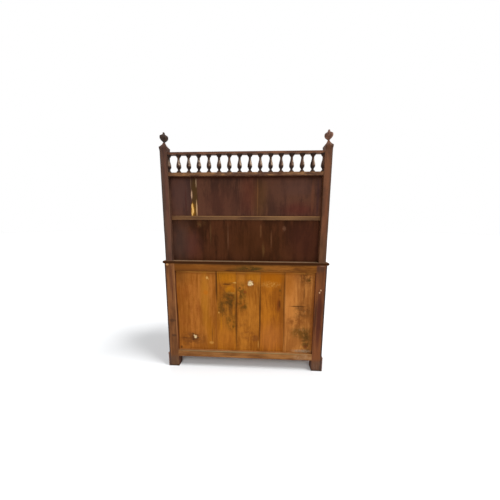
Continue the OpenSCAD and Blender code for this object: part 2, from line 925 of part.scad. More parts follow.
// The back of a drawer, between its sides, or its housings where a clearance is given
module drawer_back(reach, gap) {
    block([drawer_x0 + drawer_side_t - reach - gap, drawer_x1 - drawer_side_t + reach + gap],
          [drawer_end - 2 * drawer_side_t - gap, drawer_end - drawer_side_t + gap],
          [drawer_bottom_z + drawer_bottom_t - gap, drawer_side_z1 + gap]);
}

module drawer_bottom() {
    color(inside_pale)
        drawer_bottom_space(drawer_groove_d - joint_gap, 0);
}

// Dowels that fix the rack posts to the worktop
module rack_dowels() {
    color(inside_pale)
        for (side = [-1, 1])
            translate([side * rack_post_x, rack_post_y, worktop_z - dowel_down])
                cylinder(d = dowel_d, h = dowel_down + dowel_up);
}

// Face of a rack post as it is sawn from one side: flared corners under a hollow pyramid
module post_face(width) {
    half = width / 2;
    wide_reach = half + corner_flare;
    neck = finial_neck_d / 2;
    corner = corner_z - worktop_z;
    lip = corner - corner_lip;
    hollow = 1.5;
    right = concat(
        [[half, 0], [half, lip - flare_h]],
        ogee([half, lip - flare_h], [wide_reach, lip], 6),
        [[wide_reach, corner]],
        [for (i = [1 : 10])
            [neck + (wide_reach - neck) * pow(1 - i / 10, hollow), corner + pyramid_h * i / 10]]
    );
    left = [for (i = [len(right) - 1 : -1 : 0]) [-right[i][0], right[i][1]]];
    polygon(concat(right, left));
}

// Tenons of the gallery rails in the rack posts
module gallery_tenon(z0, z1, gap) {
    block([rack_in - 1, rack_in + gallery_tenon_l + gap],
          [rack_post_y - gallery_tenon_t / 2 - gap, rack_post_y + gallery_tenon_t / 2 + gap],
          [z0 + gallery_shoulder - gap, z1 - gallery_shoulder + gap]);
}

// Space of the rack back boards between the posts
module rack_board_space(reach, gap, z0, z1) {
    block([-rack_in - reach, rack_in + reach],
          [y_rack_board - rack_back_t - gap, y_rack_board + gap], [z0, z1]);
}

module rack_post() {
    color(rack_brown)
        difference() {
            translate([rack_post_x, rack_post_y, worktop_z])
                intersection() {
                    translate([0, rack_post_d, 0])
                        rotate([90, 0, 0])
                            linear_extrude(2 * rack_post_d)
                                post_face(rack_post_w);
                    translate([-rack_post_w, 0, 0])
                        rotate([90, 0, 90])
                            linear_extrude(2 * rack_post_w)
                                post_face(rack_post_d);
                }
            gallery_tenon(gallery_under, gallery_floor, joint_gap);
            gallery_tenon(gallery_ceiling, gallery_top, joint_gap);
            rack_board_space(groove_d, joint_gap, worktop_z - 1, gallery_under);
            translate([rack_post_x, rack_post_y, worktop_z - 1])
                cylinder(d = dowel_d + 2 * pin_gap, h = dowel_up + 1 + joint_gap);
            translate([rack_post_x, rack_post_y, pyramid_top - finial_spigot_l - joint_gap])
                cylinder(d = finial_spigot_d + 2 * pin_gap, h = finial_spigot_l + 2 * joint_gap);
        }
}

// A turned finial: a spigot, a thin neck, a bud that is fullest near its top, and a pointed tip
module finial() {
    bud_r = finial_bud_d / 2;
    neck_r = finial_neck_d / 2;
    tip_r = finial_tip_d / 2;
    base_z = 5;
    full_z = finial_bud_h * 0.67;
    edge_z = finial_bud_h * 0.9;
    tip_z = finial_bud_h + finial_tip_h;
    outline = concat(
        [[0, -finial_spigot_l], [finial_spigot_d / 2, -finial_spigot_l], [finial_spigot_d / 2, 0]],
        [[neck_r, 0], [neck_r, base_z]],
        [for (i = [1 : 8]) [neck_r + (bud_r - neck_r) * sin(90 * i / 8), base_z + (full_z - base_z) * i / 8]],
        [[bud_r - 0.6, edge_z - 3]],
        ogee([bud_r - 0.6, edge_z - 3], [bud_r * 0.76, edge_z + 2], 4),
        ogee([bud_r * 0.76, edge_z + 2], [tip_r * 1.7, finial_bud_h + 1], 5),
        ogee([tip_r * 1.7, finial_bud_h + 1], [tip_r, finial_bud_h + finial_tip_h * 0.55], 4),
        arc([0, tip_z - tip_r], tip_r, 0, 90, 6)
    );
    color(rack_brown)
        translate([rack_post_x, rack_post_y, pyramid_top])
            rotate_extrude()
                polygon(outline);
}

// Outline of a turned baluster from the lower rail to the upper one, with a pin at each end
function baluster_outline() =
    let (
        foot = baluster_foot_d / 2,
        waist = baluster_waist_d / 2,
        belly = baluster_belly_d / 2,
        neck = baluster_neck_d / 2,
        cap = baluster_cap_d / 2,
        pin = baluster_pin_d / 2
    )
    concat(
        [[0, -baluster_pin_l], [pin, -baluster_pin_l], [pin, 0], [foot, 0], [foot, 2]],
        ogee([foot, 2], [waist, baluster_h * 0.165], 7),
        ogee([waist, baluster_h * 0.165], [belly, baluster_h * 0.33], 7),
        [[belly, baluster_h * 0.37]],
        ogee([belly, baluster_h * 0.37], [neck, baluster_h * 0.77], 10),
        [[neck, baluster_h * 0.8]],
        ogee([neck, baluster_h * 0.8], [cap, baluster_h - 2], 9),
        [[cap, baluster_h], [pin, baluster_h]],
        [[pin, baluster_h + baluster_pin_l], [0, baluster_h + baluster_pin_l]]
    );

module baluster() {
    rotate_extrude()
        polygon(baluster_outline());
}

module gallery_balusters() {
    color(rack_brown)
        for (number = [1 : gallery_spaces - 1])
            translate([-rack_in + number * baluster_pitch, rack_post_y, gallery_floor])
                baluster();
}

// Half balusters against the posts
module gallery_half_balusters() {
    color(rack_brown)
        for (side = [-1, 1])
            sided(side)
                intersection() {
                    translate([rack_in, rack_post_y, gallery_floor])
                        baluster();
                    block([rack_in - baluster_cap_d, rack_in], [y_rack_front, y_back],
                          [gallery_floor, gallery_ceiling]);
                }
}

// Holes for the pins of the balusters in a rail, from a level upward
module baluster_holes(z0) {
    for (number = [1 : gallery_spaces - 1])
        translate([-rack_in + number * baluster_pitch, rack_post_y, z0])
            cylinder(d = baluster_pin_d + 2 * pin_gap, h = baluster_pin_l + 1 + joint_gap);
}

module gallery_lower_rail() {
    color(rack_brown)
        difference() {
            union() {
                block([-rack_in, rack_in],
                      [rack_post_y - gallery_lower_d / 2, rack_post_y + gallery_lower_d / 2],
                      [gallery_under, gallery_floor]);
                for (side = [-1, 1])
                    sided(side)
                        gallery_tenon(gallery_under, gallery_floor, 0);
            }
            baluster_holes(gallery_floor - baluster_pin_l - joint_gap);
            rack_board_space(0, joint_gap, gallery_under - 1, gallery_under + groove_d);
        }
}

// The upper rail has rounded upper edges
module gallery_top_rail() {
    round_r = 6;
    color(rack_brown)
        difference() {
            union() {
                translate([-rack_in, rack_post_y, gallery_ceiling])
                    rotate([90, 0, 90])
                        linear_extrude(2 * rack_in) {
                            translate([-gallery_top_d / 2, 0])
                                square([gallery_top_d, gallery_top_h - round_r]);
                            translate([-gallery_top_d / 2 + round_r, 0])
                                square([gallery_top_d - 2 * round_r, gallery_top_h]);
                            for (side = [-1, 1])
                                translate([side * (gallery_top_d / 2 - round_r), gallery_top_h - round_r])
                                    circle(round_r);
                        }
                for (side = [-1, 1])
                    sided(side)
                        gallery_tenon(gallery_ceiling, gallery_top, 0);
            }
            baluster_holes(gallery_ceiling - 1);
        }
}

// The upper board runs into the grooves of the posts, and with its top edge into the gallery rail
module rack_upper_back() {
    color(board_dark) {
        rack_board_space(groove_d - season_gap, 0, shelf_top, gallery_under);
        rack_board_space(-joint_gap, 0, gallery_under, gallery_under + groove_d - season_gap);
    }
}

module rack_lower_back() {
    color(board_dark)
        rack_board_space(groove_d - season_gap, 0, worktop_z, shelf_under);
}

// The shelf runs out between the posts to the back and into the housings of the rack ends
module rack_shelf() {
    y_shelf_back = y_rack_board + shelf_proud;
    color(rack_brown) {
        block([-rack_in, rack_in], [y_shelf_front, y_shelf_back], [shelf_under, shelf_top]);
        block([-rack_half + cheek_t - housing_d, rack_half - cheek_t + housing_d],
              [y_shelf_front, y_rack_front], [shelf_under, shelf_top]);
    }
}

// Front edge of a rack end: a scoop up from the worktop to the shelf and a scoop in to the top
module cheek_outline() {
    foot = cheek_reach * 0.62;
    top = cheek_reach * 0.26;
    shelf_lo = shelf_under - worktop_z - 26;
    shelf_hi = shelf_top - worktop_z + 26;
    height = gallery_under - worktop_z;
    polygon(concat(
        [[0, 0], [foot, 0], [foot, 14]],
        ogee([foot, 14], [foot * 0.5, shelf_lo * 0.45], 9),
        ogee([foot * 0.5, shelf_lo * 0.45], [cheek_reach, shelf_lo], 10),
        [[cheek_reach, shelf_hi]],
        ogee([cheek_reach, shelf_hi], [top, height * 0.82], 10),
        [[top, height - top * 0.6]],
        arc([top * 0.4, height - top * 0.6], top * 0.6, 0, 90, 7),
        [[0, height]]
    ));
}

module rack_cheek() {
    color(rack_brown)
        difference() {
            translate([rack_half - cheek_t, y_rack_front, worktop_z])
                rotate([90, 0, 90])
                    linear_extrude(cheek_t)
                        mirror([1, 0])
                            cheek_outline();
            block([rack_half - cheek_t - 1, rack_half - cheek_t + housing_d + joint_gap],
                  [y_shelf_front - joint_gap, y_rack_front + 1],
                  [shelf_under, shelf_top]);
        }
}

worktop();
sided(-1) front_post();  // front_post_left
front_post();  // front_post_right
sided(-1) back_post();  // back_post_left
back_post();  // back_post_right
back_rail(top_rail_under, worktop_under);  // back_top_rail
back_rail(leg_h, bottom_rail_top);  // back_bottom_rail
back_board(1);  // back_board_1
back_board(2);  // back_board_2
back_board(3);  // back_board_3
back_board(4);  // back_board_4
back_board(5);  // back_board_5
side_top_rails();
side_bottom_rails();
sided(-1) side_panel();  // side_panel_left
side_panel();  // side_panel_right
base_mouldings();
front_top_rail();
front_mid_rail();
front_bottom_rail();
drawer_divider();
bottom_board();
inner_shelf();
shelf_cleats();
drawer_runners();
drawer_guides();
drawer_stops();
hinge_leaves_fixed();
sided(-1) rack_post();  // rack_post_left
rack_post();  // rack_post_right
sided(-1) rack_cheek();  // rack_cheek_left
rack_cheek();  // rack_cheek_right
rack_shelf();
rack_upper_back();
rack_lower_back();
rack_dowels();
gallery_lower_rail();
gallery_top_rail();
gallery_balusters();
gallery_half_balusters();
sided(-1) finial();  // finial_left
finial();  // finial_right
sided(-1) door_stiles();  // door_left_stiles
sided(-1) door_rails();  // door_left_rails
sided(-1) door_panel();  // door_left_panel
sided(-1) door_knob();  // door_left_knob
sided(-1) door_hinge_leaves();  // door_left_hinge_leaves
door_stiles();  // door_right_stiles
door_rails();  // door_right_rails
door_panel();  // door_right_panel
door_knob();  // door_right_knob
door_hinge_leaves();  // door_right_hinge_leaves
sided(-1) drawer_front();  // drawer_left_front
sided(-1) drawer_box();  // drawer_left_box
sided(-1) drawer_bottom();  // drawer_left_bottom
sided(-1) drawer_knobs();  // drawer_left_knobs
drawer_front();  // drawer_right_front
drawer_box();  // drawer_right_box
drawer_bottom();  // drawer_right_bottom
drawer_knobs();  // drawer_right_knobs
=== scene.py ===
"""Sideboard seen from its plank back: its finishes, its hinge screws, the light and the camera.

All places are metres in the part's own frame: X to the right as seen from the doors, Y to the
plank back, Z up from the floor. Only the marks on the back are given in millimetres.
"""
import json
import math

import bmesh
import bpy
from mathutils import Matrix, Vector

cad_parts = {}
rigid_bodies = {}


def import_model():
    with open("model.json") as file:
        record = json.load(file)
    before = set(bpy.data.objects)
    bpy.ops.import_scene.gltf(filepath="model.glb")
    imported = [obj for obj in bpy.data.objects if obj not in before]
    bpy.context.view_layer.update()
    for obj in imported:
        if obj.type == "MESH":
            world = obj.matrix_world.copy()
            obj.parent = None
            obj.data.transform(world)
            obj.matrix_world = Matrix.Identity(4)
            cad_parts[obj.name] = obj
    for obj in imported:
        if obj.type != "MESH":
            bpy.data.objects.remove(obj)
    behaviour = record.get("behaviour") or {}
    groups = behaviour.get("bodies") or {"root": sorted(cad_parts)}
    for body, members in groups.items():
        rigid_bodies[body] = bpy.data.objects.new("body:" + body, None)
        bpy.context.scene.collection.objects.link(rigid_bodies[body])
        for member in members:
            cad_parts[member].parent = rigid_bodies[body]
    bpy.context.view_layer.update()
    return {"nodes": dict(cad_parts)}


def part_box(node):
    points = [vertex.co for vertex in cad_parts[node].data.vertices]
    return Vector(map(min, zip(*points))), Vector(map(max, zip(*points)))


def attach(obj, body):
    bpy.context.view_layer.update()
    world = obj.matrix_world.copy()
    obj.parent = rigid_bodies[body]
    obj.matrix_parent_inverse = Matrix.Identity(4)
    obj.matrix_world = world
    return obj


for leftover in list(bpy.data.objects):
    bpy.data.objects.remove(leftover)

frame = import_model()
nodes = frame["nodes"]

# Levels of the piece, read from the frame
POST_LOW, POST_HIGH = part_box("back_post_left")
BACK_Y = POST_HIGH.y
HALF_WIDTH = -POST_LOW.x
WORKTOP_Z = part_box("worktop")[1].z
LEG_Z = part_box("back_bottom_rail")[0].z
RAIL_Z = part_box("back_top_rail")[0].z
RACK_OUT = -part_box("rack_post_left")[0].x
HINGE_LOW, HINGE_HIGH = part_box("hinge_leaves_fixed")

# The photograph's camera, fitted to the corners, rails and feet: its place and its three turns
FRAME_PIXELS = 500
FOCAL_PIXELS = 180
SENSOR_WIDTH = 36.0
CAMERA_PLACE = Vector((-0.10135, BACK_Y + 1.34575, 1.16838))
CAMERA_YAW = math.radians(-2.49)
CAMERA_PITCH = math.radians(7.60)
CAMERA_ROLL = math.radians(-0.32)

MM = 0.001
# How deep a mark on a face goes into the wood
MARK_DEPTH = 0.006


def srgb(red, green, blue):
    """A colour as it looks on a screen, 0 to 255, in the shader's own linear values."""
    linear = [((value / 255 + 0.055) / 1.055) ** 2.4 for value in (red, green, blue)]
    return (*linear, 1.0)


# Bare wood of the back
PLANK_STREAK = srgb(118, 62, 16)
PLANK_YELLOW = srgb(184, 114, 12)
PLANK_ORANGE = srgb(182, 100, 18)
PLANK_BROWN = srgb(118, 64, 22)
PLANK_RED = srgb(128, 54, 20)
PLANK_PALE = srgb(200, 148, 72)
OLIVE = srgb(84, 58, 14)
SEAM_DIRT = srgb(60, 32, 10)
# Painted shadow that the top rail casts on the heads of the planks
RAIL_SHADOW_PAINT = srgb(126, 72, 24)
RAIL_TONE = srgb(128, 78, 28)
# Painted highlight of the top rail's lower edge, laid on the planks
RAIL_GLINT = srgb(178, 118, 50)
PLASTER = srgb(230, 206, 156)
# Stain and polish
DARK_POLISH = srgb(62, 44, 36)
WARM_SMOKE = srgb(56, 29, 17)
SHOW_LIGHT = srgb(112, 64, 38)
SHOW_DARK = srgb(60, 30, 18)
RUBBED_WOOD = srgb(160, 112, 70)
RED_STAIN = srgb(72, 28, 15)
# Dirt and bare inner wood
DUST = srgb(150, 134, 112)
GREASE = srgb(50, 32, 18)
TORN_WOOD = srgb(214, 166, 92)
INSIDE_LIGHT = srgb(196, 154, 106)
INSIDE_DARK = srgb(148, 104, 62)
BRASS_BRIGHT = srgb(196, 160, 92)
BRASS_DULL = srgb(120, 92, 50)


def add(tree, kind, inputs=None, **settings):
    """Adds a shader node. Each input is a socket to link or a plain value, by name or number."""
    made = tree.nodes.new(kind)
    for name, value in settings.items():
        setattr(made, name, value)
    for socket, value in (inputs or {}).items():
        if isinstance(value, bpy.types.NodeSocket):
            tree.links.new(value, made.inputs[socket])
        else:
            made.inputs[socket].default_value = value
    return made


def calc(tree, operation, first, second=0.0, clamp=False):
    """One step of arithmetic on two values."""
    terms = {0: first, 1: second}
    return add(tree, "ShaderNodeMath", terms, operation=operation, use_clamp=clamp).outputs[0]


def vector_calc(tree, operation, first, second=(0.0, 0.0, 0.0)):
    """One step of arithmetic on two vectors."""
    return add(tree, "ShaderNodeVectorMath", {0: first, 1: second}, operation=operation).outputs[0]


def scaled(tree, vector, factor):
    """A vector times a number."""
    return add(tree, "ShaderNodeVectorMath", {0: vector, "Scale": factor}, operation="SCALE").outputs[0]


def fade(tree, value, start, end, low=0.0, high=1.0):
    """Runs smoothly from low to high as value goes from start to end."""
    inputs = {"Value": value, "From Min": start, "From Max": end, "To Min": low, "To Max": high}
    return add(tree, "ShaderNodeMapRange", inputs, interpolation_type="SMOOTHSTEP").outputs[0]


def mix(tree, share, first, second):
    """Two colours mixed by a share from 0 to 1."""
    return add(tree, "ShaderNodeMix", {0: share, 6: first, 7: second}, data_type="RGBA").outputs[2]


def noise(tree, place, scale, detail, roughness=0.5, kind="Fac"):
    """Cloudy noise over a place."""
    inputs = {"Vector": place, "Scale": scale, "Detail": detail, "Roughness": roughness}
    return add(tree, "ShaderNodeTexNoise", inputs).outputs[kind]


def stretched_noise(tree, place, pace, detail, roughness=0.5, kind="Fac"):
    """Cloudy noise that changes at its own pace along each axis."""
    return noise(tree, vector_calc(tree, "MULTIPLY", place, pace), 1.0, detail, roughness, kind)


def shader_group(name, vectors, values, results):
    """An empty shader node group with its sockets, and the ends to wire from and to."""
    tree = bpy.data.node_groups.new(name, "ShaderNodeTree")
    for label in vectors:
        tree.interface.new_socket(label, in_out="INPUT", socket_type="NodeSocketVector")
    for label in values:
        tree.interface.new_socket(label, in_out="INPUT", socket_type="NodeSocketFloat")
    for label in results:
        tree.interface.new_socket(label, in_out="OUTPUT", socket_type="NodeSocketFloat")
    return tree, tree.nodes.new("NodeGroupInput").outputs, tree.nodes.new("NodeGroupOutput").inputs


# How fast each pattern of the wood changes, across the grain twice and then along it, per metre
DRIFT_PACE = (5.0, 5.0, 1.3)
STREAK_PACE = (58.0, 58.0, 1.7)
CLOUD_PACE = (13.0, 13.0, 4.5)
FIBRE_PACE = (520.0, 520.0, 11.0)
PORE_PACE = (1300.0, 1300.0, 60.0)
FIGURE_PACE = (40.0, 40.0, 4.0)
# Year rings hardly change along the tree
RING_STRETCH = (1.0, 1.0, 0.012)


def grain_group():
    """Wood grain along the local Z: year rings, streaks, clouds, fine fibres and short open pores."""
    tree, given, result = shader_group("wood_grain", ["Place"], ["Ring Width", "Waviness"],
                                       ["Rings", "Streaks", "Clouds", "Fibres", "Pores"])
    place = given["Place"]
    drift = stretched_noise(tree, place, DRIFT_PACE, 3.0, kind="Color")
    drift = vector_calc(tree, "SUBTRACT", drift, (0.5, 0.5, 0.5))
    bent = vector_calc(tree, "ADD", place, scaled(tree, drift, given["Waviness"]))
    ring_place = scaled(tree, bent, calc(tree, "DIVIDE", 1.0, given["Ring Width"]))
    ring_place = vector_calc(tree, "MULTIPLY", ring_place, RING_STRETCH)
    # The wave node turns 20 radians in each unit of its vector, so this scale makes a ring a unit wide
    one_ring = math.tau / 20
    wave_inputs = {"Vector": ring_place, "Scale": one_ring, "Distortion": 3.0, "Detail": 3.0,
                   "Detail Scale": 0.6}
    wave = add(tree, "ShaderNodeTexWave", wave_inputs, wave_type="RINGS", rings_direction="Z")
    streaks = stretched_noise(tree, bent, STREAK_PACE, 4.0, 0.6)
    clouds = stretched_noise(tree, place, CLOUD_PACE, 4.0, 0.6)
    fibres = stretched_noise(tree, bent, FIBRE_PACE, 3.0, 0.6)
    pores = stretched_noise(tree, bent, PORE_PACE, 1.0)
    tree.links.new(wave.outputs["Fac"], result["Rings"])
    tree.links.new(fade(tree, streaks, 0.34, 0.66), result["Streaks"])
    tree.links.new(fade(tree, clouds, 0.34, 0.66), result["Clouds"])
    tree.links.new(fade(tree, fibres, 0.30, 0.70), result["Fibres"])
    tree.links.new(fade(tree, pores, 0.62, 0.72), result["Pores"])
    return tree


def edges_group():
    """Wear along the edges of a box, broken up by noise: 1 on an edge, 0 away from it."""
    tree, given, result = shader_group("worn_edges", ["Place", "Low", "High"], ["Width"], ["Wear"])
    above = vector_calc(tree, "SUBTRACT", given["Place"], given["Low"])
    below = vector_calc(tree, "SUBTRACT", given["High"], given["Place"])
    depths = vector_calc(tree, "ABSOLUTE", vector_calc(tree, "MINIMUM", above, below))
    parts = add(tree, "ShaderNodeSeparateXYZ", {0: depths}).outputs
    least, most, total = [calc(tree, step, calc(tree, step, parts[0], parts[1]), parts[2])
                          for step in ("MINIMUM", "MAXIMUM", "ADD")]
    to_edge = calc(tree, "SUBTRACT", calc(tree, "SUBTRACT", total, least), most)
    broad = noise(tree, given["Place"], 14.0, 4.0, 0.65)
    reach = calc(tree, "MULTIPLY", given["Width"], fade(tree, broad, 0.38, 0.68, 0.1, 1.7))
    share = calc(tree, "DIVIDE", to_edge, reach)
    tree.links.new(fade(tree, share, 1.0, 0.25), result["Wear"])
    return tree


def patch_group():
    """A patch with a ragged outline: 1 inside, 0 outside, over half sizes along the three axes."""
    tree, given, result = shader_group("ragged_patch", ["Place", "Centre", "Half Size"],
                                       ["Ragged", "Softness"], ["Mask"])
    offset = vector_calc(tree, "SUBTRACT", given["Place"], given["Centre"])
    unit = vector_calc(tree, "DIVIDE", offset, given["Half Size"])
    reach = add(tree, "ShaderNodeVectorMath", {0: unit}, operation="LENGTH").outputs["Value"]
    seed = scaled(tree, given["Centre"], 31.0)
    rough = noise(tree, vector_calc(tree, "ADD", unit, seed), 1.7, 4.0, 0.6)
    bite = calc(tree, "MULTIPLY", calc(tree, "SUBTRACT", rough, 0.5), given["Ragged"])
    reach = calc(tree, "ADD", reach, bite)
    outer = calc(tree, "ADD", 1.0, given["Softness"])
    inner = calc(tree, "SUBTRACT", 1.0, given["Softness"])
    tree.links.new(fade(tree, reach, outer, inner), result["Mask"])
    return tree


def grime_group():
    """Mottled dirt: cloudy blots with grain-like specks in them."""
    tree, given, result = shader_group("grime", ["Place"], ["Size", "Amount"], ["Mask"])
    place = scaled(tree, given["Place"], calc(tree, "DIVIDE", 1.0, given["Size"]))
    blots = noise(tree, place, 1.0, 5.0, 0.62)
    specks = noise(tree, place, 7.0, 3.0, 0.6)
    cloud = calc(tree, "ADD", calc(tree, "MULTIPLY", blots, 0.7), calc(tree, "MULTIPLY", specks, 0.3))
    threshold = calc(tree, "SUBTRACT", 0.72, calc(tree, "MULTIPLY", given["Amount"], 0.36))
    tree.links.new(fade(tree, calc(tree, "SUBTRACT", cloud, threshold), 0.0, 0.16), result["Mask"])
    return tree


GRAIN = grain_group()
EDGES = edges_group()
PATCH = patch_group()
GRIME = grime_group()

# Where the local axes come from when the grain runs along each axis of the piece
GRAIN_ORDER = {"X": (1, 2, 0), "Y": (2, 0, 1), "Z": (0, 1, 2)}
# Each piece is cut from its own length of the tree, this many metres from the next
SEED_STEP = 3.7
# How much the fibres count beside the other patterns
FINE_SHARE = 0.22
# Pores: how much they colour, how dark they are and how deep
PORE_SHARE = 0.35
PORE_SHADE = 0.45
PORE_DEPTH = 0.6
FIBRE_RISE = 0.35
# The relief's full height in metres
RELIEF_DEPTH = 0.0006
TO_RIGHT = (1.0, 0.0, 0.0)
TO_LEFT = (-1.0, 0.0, 0.0)
TO_BACK = (0.0, 1.0, 0.0)
TO_DOORS = (0.0, -1.0, 0.0)


def dress(name, material):
    """Gives a node of the frame its finish."""
    nodes[name].data.materials.clear()
    nodes[name].data.materials.append(material)


class Finish:
    """The finish of one piece, built up in coats from the bare grain to the marks on top."""

    def __init__(self, name, grain, seed, heart=(0.0, -0.09, 0.0)):
        """The grain runs along the axis called grain. The tree's heart lies off the piece's middle."""
        self.name = name
        self.material = bpy.data.materials.new(name + "_finish")
        self.material.use_nodes = True
        self.tree = self.material.node_tree
        self.tree.nodes.clear()
        self.place = add(self.tree, "ShaderNodeTexCoord").outputs["Object"]
        self.low, self.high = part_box(name)
        middle = (self.low + self.high) / 2 + Vector(heart)
        moved = vector_calc(self.tree, "SUBTRACT", self.place, tuple(middle))
        parts = add(self.tree, "ShaderNodeSeparateXYZ", {0: moved}).outputs
        order = GRAIN_ORDER[grain]
        swapped = {i: parts[order[i]] for i in range(3)}
        turned = add(self.tree, "ShaderNodeCombineXYZ", swapped).outputs[0]
        self.grain_place = vector_calc(self.tree, "ADD", turned, (0.0, 0.0, SEED_STEP * seed))
        self.colour = None
        self.roughness = 0.6
        self.height = 0.0
        self.specular = 0.3
        self.metallic = 0.0

    def effect(self, shared, **values):
        """The outputs of one of the shared effects, with this piece's own values."""
        inputs = {label.replace("_", " "): value for label, value in values.items()}
        return add(self.tree, "ShaderNodeGroup", inputs, node_tree=shared).outputs

    def times(self, first, second):
        """One value times another, such as two masks that have to meet."""
        return calc(self.tree, "MULTIPLY", first, second)

    def wood(self, light, dark, ring_width=0.007, waviness=0.06, rings=0.3, streaks=0.5, clouds=0.4,
             roughness=0.6):
        """The bare wood, shaded by rings, streaks and clouds, with pores and fibres in relief."""
        grain = self.effect(GRAIN, Place=self.grain_place, Ring_Width=ring_width, Waviness=waviness)
        shade = self.times(grain["Fibres"], FINE_SHARE)
        for pattern, share in (("Rings", rings), ("Streaks", streaks), ("Clouds", clouds)):
            shade = calc(self.tree, "ADD", shade, self.times(grain[pattern], share))
        shade = calc(self.tree, "DIVIDE", shade, rings + streaks + clouds + FINE_SHARE, clamp=True)
        self.colour = mix(self.tree, fade(self.tree, shade, 0.15, 0.85), light, dark)
        deep = tuple(value * PORE_SHADE for value in dark[:3]) + (1.0,)
        self.colour = mix(self.tree, self.times(grain["Pores"], PORE_SHARE), self.colour, deep)
        self.roughness = fade(self.tree, grain["Fibres"], 0.0, 1.0, roughness - 0.06, roughness + 0.08)
        self.height = calc(self.tree, "SUBTRACT", self.times(grain["Fibres"], FIBRE_RISE),
                           self.times(grain["Pores"], PORE_DEPTH))

    def coat(self, mask, colour, share, roughness=None, rise=0.0):
        """A coat of another colour where the mask says, with its own roughness and height."""
        mask = self.times(mask, share)
        self.colour = mix(self.tree, mask, self.colour, colour)
        if roughness is not None:
            blend = {0: mask, 2: self.roughness, 3: roughness}
            self.roughness = add(self.tree, "ShaderNodeMix", blend, data_type="FLOAT").outputs[0]
        if rise:
            self.height = calc(self.tree, "ADD", self.height, self.times(mask, rise))

    def spot(self, x, z, wide, high, ragged, softness):
        """The mask of a ragged spot on the plank back, by its middle and its size in millimetres."""
        half_size = (wide * MM / 2, MARK_DEPTH, high * MM / 2)
        middle = (x * MM, self.high.y, z * MM)
        return self.effect(PATCH, Place=self.place, Centre=middle, Half_Size=half_size, Ragged=ragged,
                           Softness=softness)["Mask"]

    def mark(self, x, z, wide, high, colour, share=0.5, ragged=1.2, softness=0.4, **more):
        """A spot of another colour on the plank back."""
        self.coat(self.spot(x, z, wide, high, ragged, softness), colour, share, **more)

    def marks(self, *rows):
        """Marks one after another, each as x, z, wide, high, colour, share, ragged, softness."""
        for row in rows:
            self.mark(*row)

    def zone(self, x, z, wide, high, colour, share=0.5):
        """A wide change of tone with no clear edge."""
        self.mark(x, z, wide, high, colour, share, ragged=0.9, softness=0.75)

    def grime(self, size, amount, colour, share=0.5, stretch=(1.0, 1.0, 1.0), within=None):
        """Mottled dirt of a size in metres, drawn out by stretch, inside a mask where one is given."""
        place = vector_calc(self.tree, "DIVIDE", self.place, stretch)
        mask = self.effect(GRIME, Place=place, Size=size, Amount=amount)["Mask"]
        if within is not None:
            mask = self.times(mask, within)
        self.coat(mask, colour, share, roughness=0.8)

    def mottle(self, x, z, wide, high, colour, share=0.7, size=0.030, amount=0.85,
               stretch=(1.0, 1.0, 1.0)):
        """Mottled dirt held within a spot on the plank back."""
        patch = self.spot(x, z, wide, high, 0.8, 0.6)
        self.grime(size, amount, colour, share, stretch, within=patch)

    def facing(self, towards, start, full):
        """Runs from 0 to 1 as the surface turns to a direction, by the cosine between them."""
        normal = add(self.tree, "ShaderNodeTexCoord").outputs["Normal"]
        aimed = add(self.tree, "ShaderNodeVectorMath", {0: normal, 1: towards}, operation="DOT_PRODUCT")
        return fade(self.tree, aimed.outputs["Value"], start, full)

    def axis(self, name):
        """One coordinate of the place."""
        return add(self.tree, "ShaderNodeSeparateXYZ", {0: self.place}).outputs[name]

    def ramp(self, name, start, full):
        """Runs from 0 to 1 between two levels along an axis."""
        return fade(self.tree, self.axis(name), start, full)

    def band(self, start, full, colour, share, ragged, roughness=None):
        """A coat that begins at one height and is full at another, with an edge as uneven as ragged."""
        uneven = calc(self.tree, "SUBTRACT", noise(self.tree, self.place, 34.0, 4.0, 0.6), 0.5)
        level = calc(self.tree, "ADD", self.axis("Z"), self.times(uneven, ragged))
        self.coat(fade(self.tree, level, start, full), colour, share, roughness)

    def lap(self, colour, outer, width, share=0.85):
        """The polish of a side that runs round its corner on to the back face."""
        across = calc(self.tree, "ABSOLUTE", self.axis("X"))
        uneven = self.times(noise(self.tree, self.place, 26.0, 3.0), width)
        across = calc(self.tree, "ADD", across, uneven)
        self.coat(fade(self.tree, across, outer - width / 2, outer), colour, share, roughness=0.4)

    def polish(self, mask, share=0.85):
        """The show polish, with its own soft figure, where the mask says."""
        figure = stretched_noise(self.tree, self.grain_place, FIGURE_PACE, 4.0)
        colour = mix(self.tree, fade(self.tree, figure, 0.35, 0.65), SHOW_LIGHT, SHOW_DARK)
        self.coat(mask, colour, share, roughness=0.38)

    def worn(self, width, share):
        """The stain is rubbed off along the edges of the piece's box."""
        wear = self.effect(EDGES, Place=self.place, Low=tuple(self.low), High=tuple(self.high),
                           Width=width)["Wear"]
        self.coat(wear, RUBBED_WOOD, share, roughness=0.6)

    def close(self, bump=0.25):
        """Wires the coats to the shader, gives the piece its finish and hands back the material."""
        shader = add(self.tree, "ShaderNodeBsdfPrincipled", {
            "Base Color": self.colour, "Roughness": self.roughness, "Metallic": self.metallic,
            "Specular IOR Level": self.specular})
        heights = {"Height": self.height, "Strength": bump, "Distance": RELIEF_DEPTH}
        relief = add(self.tree, "ShaderNodeBump", heights)
        self.tree.links.new(relief.outputs[0], shader.inputs["Normal"])
        target = add(self.tree, "ShaderNodeOutputMaterial")
        self.tree.links.new(shader.outputs[0], target.inputs["Surface"])
        dress(self.name, self.material)
        return self.material


# How dirt is drawn out: down a plank, a leg and a rack board, and along a rail
DOWN_PLANK = (0.7, 1.0, 1.6)
DOWN_LEG = (0.4, 1.0, 2.5)
DOWN_BOARD = (1.0, 1.0, 1.6)
ALONG_RAIL = (2.5, 1.0, 0.6)
# Bare and worn boards hardly shine
RAW_GLOSS = 0.06
# The painted line of light under the top rail runs past both edges of each plank, in millimetres
GLINT_LENGTH = 420


